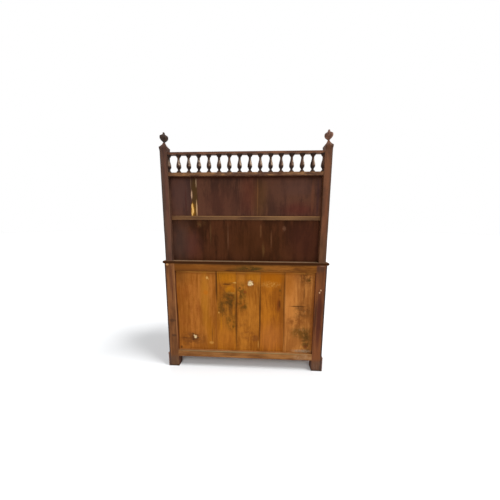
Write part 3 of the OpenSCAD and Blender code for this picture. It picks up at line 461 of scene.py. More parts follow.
def back_board(number, light, dark, heart_x):
    """A bare plank of the back, with the mottling that all five share."""
    board = Finish(f"back_board_{number}", "Z", number, heart=(heart_x, -0.11, 0.0))
    board.wood(light, dark, ring_width=0.012, waviness=0.12, rings=0.2, streaks=0.45, clouds=0.75,
               roughness=0.72)
    board.grime(0.09, 0.42, PLANK_STREAK, 0.40, stretch=(0.5, 1.0, 1.8))
    board.grime(0.034, 0.50, PLANK_BROWN, 0.36, stretch=(0.7, 1.0, 1.3))
    middle = (board.low.x + board.high.x) / 2 / MM
    # Painted shadow of the top rail on the planks just under it
    board.band(RAIL_Z - 0.040, RAIL_Z - 0.018, RAIL_SHADOW_PAINT, 0.75, ragged=0.010)
    board.band(RAIL_Z - 0.011, RAIL_Z - 0.007, RAIL_TONE, 0.75, ragged=0.004)
    # Painted highlight: the line of light along the top rail's lower edge
    board.mark(middle, (RAIL_Z - 0.013) / MM, GLINT_LENGTH, 8, RAIL_GLINT, 0.8, ragged=0.7)
    board.specular = RAW_GLOSS
    return board


def seam(board, x, middle, length, share):
    """Dirt along an open seam, on the edge of one of its planks."""
    board.mark(x, middle, 11, length, SEAM_DIRT, share, ragged=0.7, softness=0.5)


def plaster_splash(board, spots):
    """A dried splash of plaster that stands a little proud of the plank."""
    for x, z, wide, high in spots:
        board.mark(x, z, wide, high, PLASTER, 0.92, ragged=1.9, roughness=0.9, rise=2.0)


def dress_board_1():
    """The plank at the right of the photograph, stained by damp."""
    board = back_board(1, srgb(190, 125, 60), srgb(144, 86, 35), 0.05)
    board.zone(-360, 600, 100, 520, srgb(180, 108, 44), 0.45)
    board.zone(-338, 735, 90, 210, srgb(148, 82, 14), 0.6)
    board.zone(-543, 500, 34, 700, srgb(118, 62, 22))
    board.mottle(-480, 765, 100, 100, SEAM_DIRT, 0.65, size=0.035)
    board.marks(
        (-501, 753, 26, 18, OLIVE, 0.8, 1.6),
        (-440, 775, 6, 56, SEAM_DIRT),
        (-467, 640, 7, 110, GREASE),
        (-420, 541, 122, 8, SEAM_DIRT, 0.75, 1.8))
    board.mottle(-465, 500, 140, 120, SEAM_DIRT, 0.52, size=0.032, amount=0.9)
    board.mottle(-465, 510, 100, 60, srgb(168, 132, 84), 0.4, size=0.02, amount=0.6)
    board.mottle(-415, 415, 150, 70, PLANK_BROWN, 0.75, size=0.035, amount=0.9)
    board.mottle(-450, 322, 140, 90, OLIVE, 0.68, size=0.034, amount=0.95)
    board.mottle(-450, 330, 110, 70, srgb(160, 124, 78), 0.35, size=0.02, amount=0.6)
    board.mottle(-498, 240, 76, 190, srgb(72, 50, 16), 0.8, size=0.034, amount=1.0)
    board.mark(-495, 198, 36, 34, srgb(96, 44, 18), 0.6, ragged=1.6)
    board.mottle(-465, 158, 140, 26, DUST, 0.75, size=0.014, amount=0.95)
    seam(board, -318, 480, 640, 0.40)
    board.close()


def dress_board_2():
    """The orange plank, yellow at its head, with one dark knot."""
    board = back_board(2, srgb(174, 104, 25), srgb(137, 76, 15), -0.03)
    board.zone(-215, 765, 190, 130, srgb(164, 92, 4), 0.75)
    board.mottle(-200, 716, 130, 44, PLANK_PALE, 0.5, size=0.016, amount=0.8)
    board.marks(
        (-273, 545, 28, 104, srgb(104, 48, 14), 0.7, 1.1),
        (-279, 556, 15, 60, SEAM_DIRT, 0.6, 1.4),
        (-279, 668, 12, 20, OLIVE, 0.75),
        (-280, 630, 8, 12, SEAM_DIRT, 0.5, 1.0),
        (-293, 660, 6, 200, OLIVE, 0.45, 1.0))
    board.zone(-303, 480, 36, 660, srgb(120, 66, 18), 0.6)
    board.zone(-215, 270, 180, 220, srgb(170, 100, 46))
    seam(board, -312, 620, 420, 0.5)
    seam(board, -127, 470, 460, 0.6)
    board.close()


def dress_board_3():
    """The plank in the middle, with the large splash of plaster."""
    board = back_board(3, srgb(174, 108, 34), srgb(136, 77, 18), 0.02)
    board.zone(-70, 770, 110, 90, PLANK_YELLOW, 0.45)
    board.mottle(24, 650, 70, 130, OLIVE, 0.75, size=0.034, amount=0.9)
    board.marks(
        (-4, 650, 26, 24, PLANK_RED, 0.5, 1.8, 0.6),
        (36, 683, 12, 14, SEAM_DIRT, 0.7, 1.4),
        (28, 628, 9, 40, SEAM_DIRT, 0.6))
    board.mottle(18, 560, 80, 130, OLIVE, size=0.036)
    board.mark(-9, 526, 26, 34, OLIVE, 0.6, ragged=1.6)
    board.mottle(-20, 330, 150, 260, PLANK_BROWN, 0.55, size=0.04, amount=0.75)
    board.marks(
        (-90, 258, 60, 56, srgb(112, 62, 24), 0.6, 1.6),
        (-106, 640, 6, 190, SEAM_DIRT, 0.4, 1.0),
        (-114, 205, 7, 64, PLANK_PALE, 0.5, 1.0),
        (-47, 720, 66, 70, PLANK_BROWN, 0.5, 1.6))
    plaster_splash(board, ((-46, 722, 32, 38), (-61, 715, 16, 10), (-33, 712, 14, 9)))
    board.mottle(-46, 720, 46, 44, PLANK_BROWN, 0.55, size=0.011, amount=0.72)
    seam(board, -123, 470, 470, 0.65)
    seam(board, 62, 450, 520, 0.55)
    board.close()


def dress_board_4():
    """The narrow plank: yellow head, an orange block under a tear, and a mottled stain."""
    board = back_board(4, srgb(174, 106, 27), srgb(138, 77, 13), -0.04)
    board.zone(146, 770, 160, 110, PLANK_YELLOW, 0.55)
    board.marks(
        (202, 760, 7, 110, SEAM_DIRT, 0.45, 1.0),
        (186, 770, 6, 90, OLIVE, 0.45))
    board.mottle(150, 780, 130, 60, OLIVE, 0.4, amount=0.7, stretch=(0.5, 1.0, 2.0))
    board.mottle(140, 690, 150, 70, PLANK_BROWN, 0.6, amount=0.8)
    board.marks(
        (113, 662, 84, 70, PLANK_YELLOW, 0.85, 1.1, 0.25),
        (92, 668, 40, 54, PLANK_ORANGE, 0.45),
        (110, 638, 70, 18, PLANK_PALE, 0.35),
        (122, 624, 106, 10, SEAM_DIRT, 0.6, 1.6),
        (140, 712, 66, 10, SEAM_DIRT, 0.85, 1.5),
        (100, 722, 60, 7, SEAM_DIRT, 0.6, 1.5),
        (66, 725, 50, 12, PLANK_PALE, 0.85, 1.5))
    board.zone(144, 500, 170, 340, srgb(126, 76, 26), 0.35)
    board.mottle(140, 530, 170, 250, srgb(104, 64, 20), 0.75, size=0.04, amount=0.9, stretch=DOWN_PLANK)
    board.mottle(112, 585, 120, 110, OLIVE, 0.8)
    board.mottle(124, 560, 130, 170, GREASE, 0.45, size=0.02, amount=0.75)
    board.marks(
        (134, 470, 18, 130, srgb(180, 114, 34), 0.45, 1.6, 0.6),
        (88, 500, 14, 150, srgb(176, 108, 30), 0.45, 1.6, 0.6),
        (74, 620, 8, 190, srgb(192, 130, 44), 0.5, 1.4))
    board.mottle(190, 510, 60, 110, OLIVE, 0.55)
    board.mark(207, 473, 12, 14, PLANK_PALE, 0.75, ragged=1.4)
    board.mottle(100, 385, 90, 130, OLIVE, 0.65, size=0.036, stretch=(0.8, 1.0, 1.4))
    board.marks(
        (91, 355, 18, 28, OLIVE, 0.75, 1.4),
        (188, 380, 12, 140, PLANK_YELLOW, 0.4))
    board.zone(150, 250, 150, 170, srgb(166, 98, 34), 0.4)
    seam(board, 68, 450, 520, 0.65)
    seam(board, 221, 710, 240, 0.8)
    board.close()


def dress_board_5():
    """The widest plank, at the left of the photograph, with a small splash of plaster near its foot."""
    board = back_board(5, srgb(172, 105, 40), srgb(137, 78, 21), 0.02)
    board.zone(522, 770, 110, 150, srgb(108, 64, 22), 0.6)
    board.zone(318, 590, 60, 440, srgb(172, 110, 26), 0.65)
    board.marks(
        (310, 640, 34, 40, PLANK_ORANGE, 0.6, 1.4),
        (297, 762, 17, 20, TORN_WOOD, 0.8),
        (284, 752, 10, 10, PLANK_PALE, 0.5, 1.0))
    board.mottle(430, 500, 200, 520, srgb(130, 66, 22), 0.42, size=0.06, amount=0.8, stretch=DOWN_PLANK)
    board.mottle(430, 235, 190, 120, srgb(104, 58, 22), 0.75, size=0.05, amount=0.95)
    board.mark(470, 245, 110, 18, SEAM_DIRT, 0.35, ragged=2.0)
    board.zone(280, 300, 60, 240, PLANK_YELLOW, 0.3)
    board.marks(
        (264, 278, 7, 140, SEAM_DIRT, 0.55, 1.0),
        (272, 208, 34, 24, PLANK_PALE, 0.45, 1.6),
        (411, 256, 56, 56, GREASE, 0.45, 2.0),
        (424, 286, 16, 10, GREASE, 0.6, 1.4),
        (384, 250, 18, 14, GREASE, 0.65, 1.6),
        (425, 230, 22, 10, GREASE, 0.6, 1.6))
    plaster_splash(board, ((406, 256, 20, 26), (416, 269, 11, 9)))
    board.mottle(409, 260, 34, 34, PLANK_BROWN, 0.5, size=0.010, amount=0.7)
    board.marks(
        (543, 350, 9, 400, SEAM_DIRT, 0.65, 0.8),
        (527, 162, 18, 22, GREASE, 0.7))
    seam(board, 226, 710, 240, 0.65)
    board.close()


RAIL_WOOD = {"waviness": 0.03, "ring_width": 0.010, "clouds": 0.7, "roughness": 0.7}


def dress_back_rails():
    """The two bare rails of the back, the lower one dusty on its ledge."""
    upper = Finish("back_top_rail", "X", 11)
    upper.wood(srgb(148, 92, 34), srgb(98, 56, 17), **RAIL_WOOD)
    upper.grime(0.035, 0.5, PLANK_BROWN, stretch=ALONG_RAIL)
    upper.zone(330, 850, 420, 44, srgb(132, 76, 24))
    upper.mottle(-40, 842, 240, 46, srgb(70, 52, 18), 0.95, amount=1.0, stretch=ALONG_RAIL)
    upper.mark(112, 826, 80, 8, SEAM_DIRT, 0.75, ragged=1.4)
    upper.mottle(-320, 838, 260, 36, srgb(84, 46, 20), size=0.022, amount=0.8, stretch=(3.5, 1.0, 0.5))
    upper.band(0.866, 0.874, GREASE, 0.55, ragged=0.008)
    upper.specular = RAW_GLOSS
    upper.close()

    lower = Finish("back_bottom_rail", "X", 12)
    lower.wood(srgb(156, 106, 58), srgb(110, 68, 34), **RAIL_WOOD)
    lower.grime(0.035, 0.5, srgb(112, 62, 30), stretch=ALONG_RAIL)
    lower.mark(0, 143, 1080, 8, srgb(140, 124, 88), 0.8, ragged=0.9, roughness=0.9)
    lower.marks(
        (180, 135, 420, 6, GREASE, 0.6, 1.4),
        (-230, 136, 500, 4, SEAM_DIRT, 0.45))
    lower.mottle(-470, 118, 140, 50, srgb(166, 130, 96), 0.65, size=0.024, amount=0.9)
    lower.band(0.098, 0.092, srgb(84, 40, 20), 0.6, ragged=0.006)
    lower.specular = RAW_GLOSS
    lower.close()


def dress_back_posts():
    """Bare, stained posts with the dark polish of the sides lapped round their outer corners."""
    right = Finish("back_post_right", "Z", 22)
    right.wood(srgb(128, 80, 42), srgb(92, 54, 26), clouds=0.7, roughness=0.66)
    right.marks(
        (603, 868, 24, 16, srgb(190, 144, 96), 0.7, 1.4),
        (580, 760, 26, 200, srgb(84, 44, 26)),
        (572, 640, 6, 150, RED_STAIN, 0.75),
        (585, 405, 56, 26, GREASE, 0.5, 1.6),
        (578, 275, 40, 22, GREASE, 0.6, 1.6),
        (563, 330, 6, 180, SEAM_DIRT, 0.45),
        # Painted highlight along the post's inner edge, where it meets the planks
        (551, 560, 7, 560, srgb(160, 112, 68), 0.55, 0.8))

    left = Finish("back_post_left", "Z", 21)
    left.wood(srgb(118, 67, 34), srgb(80, 43, 22), clouds=0.7)
    left.marks(
        (-556, 700, 22, 240, srgb(140, 80, 36)),
        (-584, 440, 34, 440, RED_STAIN, 0.75, 0.9),
        (-556, 440, 6, 420, SEAM_DIRT, 0.55, 0.7),
        (-580, 850, 60, 56, srgb(66, 42, 28), 0.7, 1.6, 0.6))
    left.zone(-578, 765, 46, 120, srgb(112, 66, 28), 0.45)
    left.marks(
        (-587, 683, 8, 14, srgb(220, 178, 136), 0.8, 2.0, 0.5),
        (-578, 664, 10, 10, srgb(220, 178, 136), 0.8, 2.0, 0.5),
        (-588, 872, 34, 8, srgb(136, 102, 84), 0.6, 2.0, 0.6))

    for finish, drips in ((left, srgb(144, 120, 108)), (right, srgb(138, 102, 62))):
        finish.grime(0.04, 0.45, srgb(62, 36, 22), stretch=(0.6, 1.0, 2.0))
        finish.band(LEG_Z + 0.02, LEG_Z - 0.02, srgb(80, 60, 46), 0.65, ragged=0.02)
        leg = finish.ramp("Z", LEG_Z + 0.03, 0.03)
        finish.grime(0.024, 0.45, DUST, 0.35, stretch=DOWN_LEG, within=leg)
        finish.grime(0.03, 0.6, GREASE, 0.6, stretch=DOWN_LEG, within=leg)
        finish.grime(0.022, 0.6, drips, 0.42, stretch=(0.4, 1.0, 3.0), within=leg)
        finish.lap(DARK_POLISH, HALF_WIDTH, 0.014, share=0.9)
        for side in (TO_RIGHT, TO_LEFT):
            finish.polish(finish.facing(side, 0.6, 0.9))
        finish.band(0.018, 0.005, GREASE, 0.85, ragged=0.008)
        finish.specular = 0.12
        finish.close()


def stained(name, grain, seed, light, dark, edge_share=0.0, edge=0.004, specular=0.16,
            smoke=DARK_POLISH, smoke_share=0.35, **more):
    """A stained piece, with rubbed edges where edge_share is given."""
    finish = Finish(name, grain, seed)
    finish.wood(light, dark, **more)
    finish.grime(0.06, 0.38, smoke, smoke_share)
    if edge_share:
        finish.worn(edge, edge_share)
    finish.specular = specular
    return finish


# Where the hollow caps of the rack posts begin
CAP_RISES = (1.688, 1.700)


def dress_rack_posts():
    """Stained posts: greyer on the right, redder and more rubbed on the left, with darker mottled hollow
    tops.
    """
    right = stained("rack_post_right", "Z", 32, srgb(94, 62, 46), srgb(62, 40, 31), edge_share=0.15,
                    clouds=0.7)
    right.zone(576, 1320, 20, 700, srgb(96, 56, 44))
    right.zone(600, 1250, 26, 760, srgb(78, 58, 46))
    # Painted highlight along the post's inner edge
    right.mark(560, 1330, 5, 620, srgb(128, 94, 68), 0.6, ragged=0.8)
    right.lap(srgb(62, 48, 42), RACK_OUT - 0.002, 0.012, share=0.95)

    left = stained("rack_post_left", "Z", 31, srgb(110, 68, 42), srgb(72, 43, 25), edge_share=0.15,
                   clouds=0.8)
    left.grime(0.02, 0.5, srgb(58, 33, 22), 0.45, stretch=(0.5, 1.0, 3.0))
    left.zone(-588, 1250, 34, 440, srgb(118, 68, 43), 0.55)
    left.mark(-561, 1300, 14, 760, srgb(72, 42, 24), 0.65, ragged=0.7)
    left.zone(-580, 980, 60, 200, srgb(88, 58, 32))
    left.lap(srgb(84, 56, 40), RACK_OUT - 0.002, 0.018)

    for finish, outer in ((left, TO_LEFT), (right, TO_RIGHT)):
        cap = finish.ramp("Z", *CAP_RISES)
        finish.grime(0.016, 0.62, srgb(40, 27, 21), 0.75, within=cap)
        finish.grime(0.012, 0.40, srgb(150, 112, 80), 0.35, within=cap)
        finish.polish(finish.facing(TO_DOORS, 0.5, 0.8))
        finish.polish(finish.facing(outer, 0.6, 0.9))
        finish.close()


def dress_rack_boards():
    """Two dark boards. The upper one is torn in two long strips."""
    upper = Finish("rack_upper_back", "Z", 42)
    upper.wood(srgb(88, 54, 39), srgb(58, 34, 25), streaks=0.25, clouds=0.9, roughness=0.62)
    upper.grime(0.05, 0.45, srgb(58, 42, 28), stretch=DOWN_BOARD)
    upper.zone(480, 1400, 170, 300, srgb(70, 48, 45), 0.6)
    upper.zone(-250, 1420, 190, 180, srgb(77, 48, 36))
    upper.zone(-400, 1455, 240, 110, srgb(85, 56, 47), 0.55)
    upper.zone(-110, 1370, 110, 260, srgb(84, 54, 26), 0.55)
    upper.zone(-30, 1400, 110, 260, srgb(90, 44, 30))
    upper.zone(-400, 1290, 220, 90, srgb(82, 34, 27), 0.55)
    upper.zone(170, 1330, 260, 190, srgb(76, 42, 31))
    upper.marks(
        (-500, 1370, 24, 240, srgb(104, 62, 42), 0.55),
        # Painted shadow of the rack post on the board beside it
        (-536, 1380, 22, 270, srgb(66, 40, 38), 0.6, 1.0),
        (-96, 1380, 8, 270, srgb(118, 78, 44), 0.45, 1.8, 0.6),
        (446, 1350, 12, 200, srgb(66, 32, 26)),
        (378, 1385, 44, 290, srgb(72, 50, 20), 0.8, 0.8),
        (404, 1480, 4, 84, srgb(124, 96, 66), 0.7, 1.0),
        (400, 1398, 10, 58, srgb(192, 154, 124), 0.85, 1.4),
        (395, 1288, 25, 100, srgb(140, 92, 24), 0.9, 1.2, 0.3))
    for x, z, wide, high in ((398, 1314, 12, 40), (394, 1284, 16, 48), (400, 1258, 10, 30)):
        upper.mark(x, z, wide, high, srgb(222, 174, 98), 0.95, ragged=1.6, softness=0.35, roughness=0.8)
    upper.marks(
        (377, 1288, 12, 100, srgb(100, 66, 14), 0.8, 1.0),
        (364, 1488, 8, 64, srgb(160, 130, 100), 0.75, 1.4),
        (364, 1300, 10, 114, srgb(184, 144, 102), 0.9, 1.4))
    # Painted shadow of the gallery's lower rail across the top of the board
    upper.band(1.510, 1.524, srgb(60, 26, 12), 0.85, ragged=0.006)
    upper.specular = RAW_GLOSS
    upper.close()

    lower = Finish("rack_lower_back", "Z", 43)
    lower.wood(srgb(76, 41, 22), srgb(46, 23, 9), streaks=0.25, clouds=0.9, roughness=0.62)
    lower.grime(0.05, 0.45, srgb(56, 40, 18), stretch=DOWN_BOARD)
    lower.zone(500, 1040, 170, 300, srgb(71, 51, 44), 0.65)
    lower.zone(400, 1010, 120, 200, srgb(86, 46, 38))
    lower.zone(-60, 1040, 420, 280, srgb(67, 35, 12), 0.55)
    lower.zone(-460, 1060, 220, 300, srgb(66, 32, 22), 0.6)
    lower.mottle(330, 1178, 90, 44, srgb(96, 70, 40), 0.5, amount=0.7)
    lower.marks(
        (262, 1110, 10, 150, srgb(92, 64, 36), 0.45, 2.0, 0.6),
        (128, 1080, 11, 170, srgb(104, 68, 46), 0.5, 2.0, 0.6),
        (-122, 1130, 13, 84, srgb(108, 70, 42), 0.5, 2.2, 0.6),
        (-203, 1060, 12, 110, srgb(104, 66, 42), 0.5, 2.2, 0.6),
        (-299, 1150, 24, 34, srgb(112, 76, 56), 0.5, 2.0, 0.6),
        (-144, 985, 20, 90, srgb(96, 66, 34), 0.5, 2.0, 0.6))
    lower.specular = 0.04
    lower.close()


# Levels on a baluster, each from where an effect begins to where it is full
BELLY_BEGINS = (1.592, 1.606)
BELLY_ENDS = (1.652, 1.632)
NECK_DARKENS = (1.650, 1.668)
WAIST_DARKENS = (1.600, 1.588)
FOOT_BEGINS = (1.572, 1.562)
# The side of each belly that gets a painted highlight, as if lit from there
HIGHLIGHT_SIDE = (-0.90, 0.40, 0.10)


def dress_turned(name, seed, rubbed):
    """Turned balusters: painted shade at neck and waist, a painted highlight on one cheek of each belly.
    """
    turned = stained(name, "Z", seed, srgb(86, 57, 40), srgb(38, 24, 17), specular=0.12,
                     roughness=0.5, ring_width=0.004)
    belly = turned.times(turned.ramp("Z", *BELLY_BEGINS), turned.ramp("Z", *BELLY_ENDS))
    # Painted highlight on one cheek of each belly, mottled, in the share given as rubbed
    cheek = turned.times(turned.facing(HIGHLIGHT_SIDE, 0.40, 0.85), belly)
    turned.grime(0.030, 0.85, srgb(192, 166, 142), rubbed, within=cheek)
    # Painted shade above the belly, at neck and cap, and below it, at waist and foot
    for begins, full in (NECK_DARKENS, WAIST_DARKENS):
        turned.band(begins, full, srgb(34, 21, 16), 0.75, ragged=0.004)
    turned.grime(0.02, 0.6, srgb(116, 82, 56), 0.6, within=turned.ramp("Z", *FOOT_BEGINS))
    turned.close()


def dress_gallery():
    """Shelf, rails, balusters and finials: worn edges, painted highlights on bellies, painted shade in
    hollows.
    """
    shelf = stained("rack_shelf", "X", 35, srgb(110, 75, 45), srgb(77, 49, 29), edge_share=0.3,
                    clouds=0.7, roughness=0.62)
    shelf.zone(-330, 1227, 400, 40, srgb(130, 96, 60), 0.4)
    shelf.grime(0.03, 0.4, srgb(70, 44, 24), 0.45, stretch=ALONG_RAIL)
    shelf.zone(330, 1227, 400, 40, srgb(90, 61, 36), 0.55)
    shelf.mark(0, 1240, 1140, 5, srgb(160, 118, 72), ragged=0.8)
    # Every face but the one that looks to the back
    shelf.polish(shelf.facing(TO_BACK, 0.75, 0.45))
    shelf.close()

    lower = stained("gallery_lower_rail", "X", 36, srgb(124, 86, 54), srgb(74, 46, 31), edge_share=0.3,
                    clouds=0.8)
    lower.grime(0.034, 0.62, srgb(66, 30, 16), 0.7, stretch=(1.2, 1.0, 0.6))
    lower.grime(0.034, 0.60, srgb(172, 126, 80), 0.65, stretch=(1.4, 1.0, 0.4))
    # Painted shade, darker towards the rail's lower edge and underside
    lower.band(1.531, 1.527, srgb(52, 24, 14), 0.7, ragged=0.004)
    lower.polish(lower.facing(TO_DOORS, 0.3, 0.7), 0.7)
    lower.close()

    upper = stained("gallery_top_rail", "X", 37, srgb(116, 74, 48), srgb(68, 40, 26), edge_share=0.2,
                    smoke=WARM_SMOKE, clouds=0.8)
    upper.grime(0.03, 0.5, srgb(70, 30, 20), 0.45, stretch=(2.0, 1.0, 0.6))
    upper.band(1.690, 1.694, srgb(52, 38, 26), 0.6, ragged=0.003)
    upper.polish(upper.facing(TO_DOORS, 0.3, 0.7), 0.7)
    upper.close()

    # The last number is how strong the painted highlight on the bellies is
    dress_turned("gallery_balusters", 38, 0.9)
    dress_turned("gallery_half_balusters", 39, 0.3)
    for name, seed, light, dark, dirt in (
            ("finial_left", 40, srgb(146, 104, 82), srgb(88, 58, 46), 0.4),
            ("finial_right", 41, srgb(90, 68, 54), srgb(48, 34, 28), 0.65)):
        turned = stained(name, "Z", seed, light, dark, ring_width=0.004)
        turned.grime(0.02, 0.5, srgb(46, 32, 26), dirt)
        turned.grime(0.012, 0.3, srgb(150, 118, 98), 0.4)
        turned.close()
    for name, seed in (("rack_cheek_left", 33), ("rack_cheek_right", 34)):
        stained(name, "Z", seed, SHOW_LIGHT, SHOW_DARK).close()


# The polished wood of the worktop, the sides and the front
POLISHED = {"smoke": WARM_SMOKE, "roughness": 0.36, "rings": 0.35, "streaks": 0.3}
TOP_GLOSS = 0.2
RAW_EDGE_GLOSS = 0.03


def dress_worktop():
    """The polished top, rubbed along its nose and dusty where the rack stands on it."""
    top = stained("worktop", "X", 60, SHOW_LIGHT, SHOW_DARK, edge=0.006, edge_share=0.3, clouds=0.5,
                  ring_width=0.010, **POLISHED)
    top.grime(0.14, 0.36, srgb(146, 96, 58), 0.3, stretch=(1.6, 1.0, 1.0))
    behind = top.ramp("Y", BACK_Y - 0.034, BACK_Y - 0.028)
    upper_face = top.ramp("Z", WORKTOP_Z - 0.003, WORKTOP_Z - 0.001)
    top.coat(top.times(behind, upper_face), srgb(120, 98, 72), 0.75, roughness=0.9)
    edge_face = top.ramp("Y", BACK_Y - 0.003, BACK_Y - 0.001)
    raw_edge = top.times(edge_face, top.ramp("Z", WORKTOP_Z - 0.001, WORKTOP_Z - 0.005))
    top.coat(raw_edge, srgb(54, 29, 9), 0.92, roughness=0.7)
    top.specular = fade(top.tree, raw_edge, 0.0, 1.0, TOP_GLOSS, RAW_EDGE_GLOSS)
    top.close(bump=0.15)


SHOW_GRAIN = {
    "front_post_left": "Z", "front_post_right": "Z", "side_top_rails": "Y", "side_bottom_rails": "Y",
    "side_panel_left": "Z", "side_panel_right": "Z", "base_mouldings": "X", "front_top_rail": "X",
    "front_mid_rail": "X", "front_bottom_rail": "X", "drawer_divider": "Z",
}
KNOBS = ("door_left_knob", "door_right_knob", "drawer_left_knobs", "drawer_right_knobs")
for side in ("left", "right"):
    SHOW_GRAIN[f"door_{side}_stiles"] = "Z"
    SHOW_GRAIN[f"door_{side}_rails"] = "X"
    SHOW_GRAIN[f"door_{side}_panel"] = "Z"
    SHOW_GRAIN[f"drawer_{side}_front"] = "X"
INSIDE_GRAIN = {
    "bottom_board": "X", "inner_shelf": "X", "shelf_cleats": "Y", "drawer_runners": "Y",
    "drawer_guides": "Y", "drawer_stops": "X", "rack_dowels": "Z", "drawer_left_box": "Y",
    "drawer_left_bottom": "X", "drawer_right_box": "Y", "drawer_right_bottom": "X",
}


def dress_show_wood():
    """The polished wood of the sides and the front, rubbed at the edges and scuffed near the floor."""
    for seed, (name, grain) in enumerate(SHOW_GRAIN.items()):
        finish = stained(name, grain, 70 + seed, SHOW_LIGHT, SHOW_DARK, edge_share=0.4,
                         specular=0.3, smoke_share=0.22, ring_width=0.009, **POLISHED)
        finish.grime(0.10, 0.36, srgb(134, 80, 46), 0.3, stretch=(1.0, 1.0, 1.4))
        finish.band(0.16, 0.02, GREASE, 0.45, roughness=0.7, ragged=0.05)
        finish.close(bump=0.15)
    for seed, name in enumerate(KNOBS):
        finish = stained(name, "Y", 95 + seed, SHOW_LIGHT, SHOW_DARK, specular=0.4,
                         roughness=0.34)
        rubbed = finish.ramp("Y", finish.low.y + 0.010, finish.low.y)
        finish.coat(rubbed, RUBBED_WOOD, 0.35, roughness=0.3)
        finish.close(bump=0.1)


def dress_inside():
    """The raw wood inside."""
    for seed, (name, grain) in enumerate(INSIDE_GRAIN.items()):
        finish = Finish(name, grain, 110 + seed)
        finish.wood(INSIDE_LIGHT, INSIDE_DARK, roughness=0.7)
        finish.grime(0.08, 0.4, PLANK_BROWN, 0.3)
        finish.close()


def aged_brass():
    """Dull, aged brass."""
    finish = Finish("hinge_leaves_fixed", "Z", 7)
    finish.material.name = "hinge_brass_finish"
    cloud = noise(finish.tree, finish.place, 60.0, 4.0)
    finish.colour = mix(finish.tree, fade(finish.tree, cloud, 0.35, 0.65), BRASS_BRIGHT, BRASS_DULL)
    finish.roughness = fade(finish.tree, cloud, 0.3, 0.7, 0.3, 0.55)
    finish.height = cloud
    finish.metallic = 1.0
    return finish.close(bump=0.1)


SCREW_RADIUS = 0.0026
SCREW_RISE = 0.0005
SLOT_HALF = 0.0004
SCREW_SIDES = 20
# The two halves beside the slot stand a little inside the rim
HALVES_SHARE = 0.94
LEAF_LENGTH = 0.060
# How far the middle of a leaf lies behind the middle of the whole hinge
LEAF_SHIFT = 0.005
# How far each screw of a leaf lies off the leaf's middle
SCREW_STAGGER = (-0.001, 0.003, -0.001)
# How the slots are turned from screw to screw and from side to side, in radians
SLOT_TURN = 0.9
SIDE_TURN = 0.4


def ring_solid(mesh, outline, floor, top):
    """A flat plate with the given outline in X and Y, between two heights."""
    lower = [mesh.verts.new((x, y, floor)) for x, y in outline]
    upper = [mesh.verts.new((x, y, top)) for x, y in outline]
    mesh.faces.new(list(reversed(lower)))
    mesh.faces.new(upper)
    for i in range(len(outline)):
        j = (i + 1) % len(outline)
        mesh.faces.new((lower[i], lower[j], upper[j], upper[i]))


def arc(radius, start, end, count):
    """Points along an arc, angles in radians."""
    angles = [start + (end - start) * i / count for i in range(count + 1)]
    return [(radius * math.cos(angle), radius * math.sin(angle)) for angle in angles]


def screw_head():
    """A countersunk head with a slot, standing up along Z from 0."""
    mesh = bmesh.new()
    ring_solid(mesh, arc(SCREW_RADIUS, 0.0, math.tau, SCREW_SIDES)[:-1], 0.0, SCREW_RISE / 2)
    inner = SCREW_RADIUS * HALVES_SHARE
    reach = math.acos(SLOT_HALF / inner)
    for turn in (0.0, math.pi):
        half = arc(inner, turn - reach, turn + reach, SCREW_SIDES // 2)
        ring_solid(mesh, half, SCREW_RISE * 0.4, SCREW_RISE)
    return mesh


def hinge_screws(name, body, sides, face_x, facing, material):
    """Screws in the leaves on the given sides. face_x is where a leaf's face lies on the right."""
    leaf_middle = (HINGE_LOW.y + HINGE_HIGH.y) / 2 + LEAF_SHIFT
    head = screw_head()
    whole = bmesh.new()
    for side in sides:
        for start in (HINGE_LOW.z, HINGE_HIGH.z - LEAF_LENGTH):
            for number, stagger in enumerate(SCREW_STAGGER):
                z = start + LEAF_LENGTH * (number + 0.5) / len(SCREW_STAGGER)
                turn = Matrix.Rotation(SLOT_TURN * number + SIDE_TURN * side, 4, "Z")
                aim = Vector((side * facing, 0.0, 0.0)).to_track_quat("Z", "Y").to_matrix().to_4x4()
                place = Matrix.Translation((side * face_x, leaf_middle + stagger, z)) @ aim @ turn
                copied = {vert: whole.verts.new(place @ vert.co) for vert in head.verts}
                for face in head.faces:
                    whole.faces.new([copied[vert] for vert in face.verts])
    data = bpy.data.meshes.new(name)
    whole.to_mesh(data)
    head.free()
    whole.free()
    piece = bpy.data.objects.new(name, data)
    bpy.context.scene.collection.objects.link(piece)
    data.materials.append(material)
    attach(piece, body)


def make_hinges():
    """Brass leaves and the screws that hold them."""
    brass = aged_brass()
    for name in ("door_left_hinge_leaves", "door_right_hinge_leaves"):
        dress(name, brass)
    fixed_face = -POST_HIGH.x
    door_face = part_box("door_right_stiles")[1].x
    hinge_screws("post_hinge_screws", "cabinet", (-1, 1), fixed_face, -1, brass)
    hinge_screws("door_left_hinge_screws", "door_left", (-1,), door_face, 1, brass)
    hinge_screws("door_right_hinge_screws", "door_right", (1,), door_face, 1, brass)


# Split points closer than this are one point
SAME_POINT = 0.000002
CREASE_ANGLE = math.radians(32)


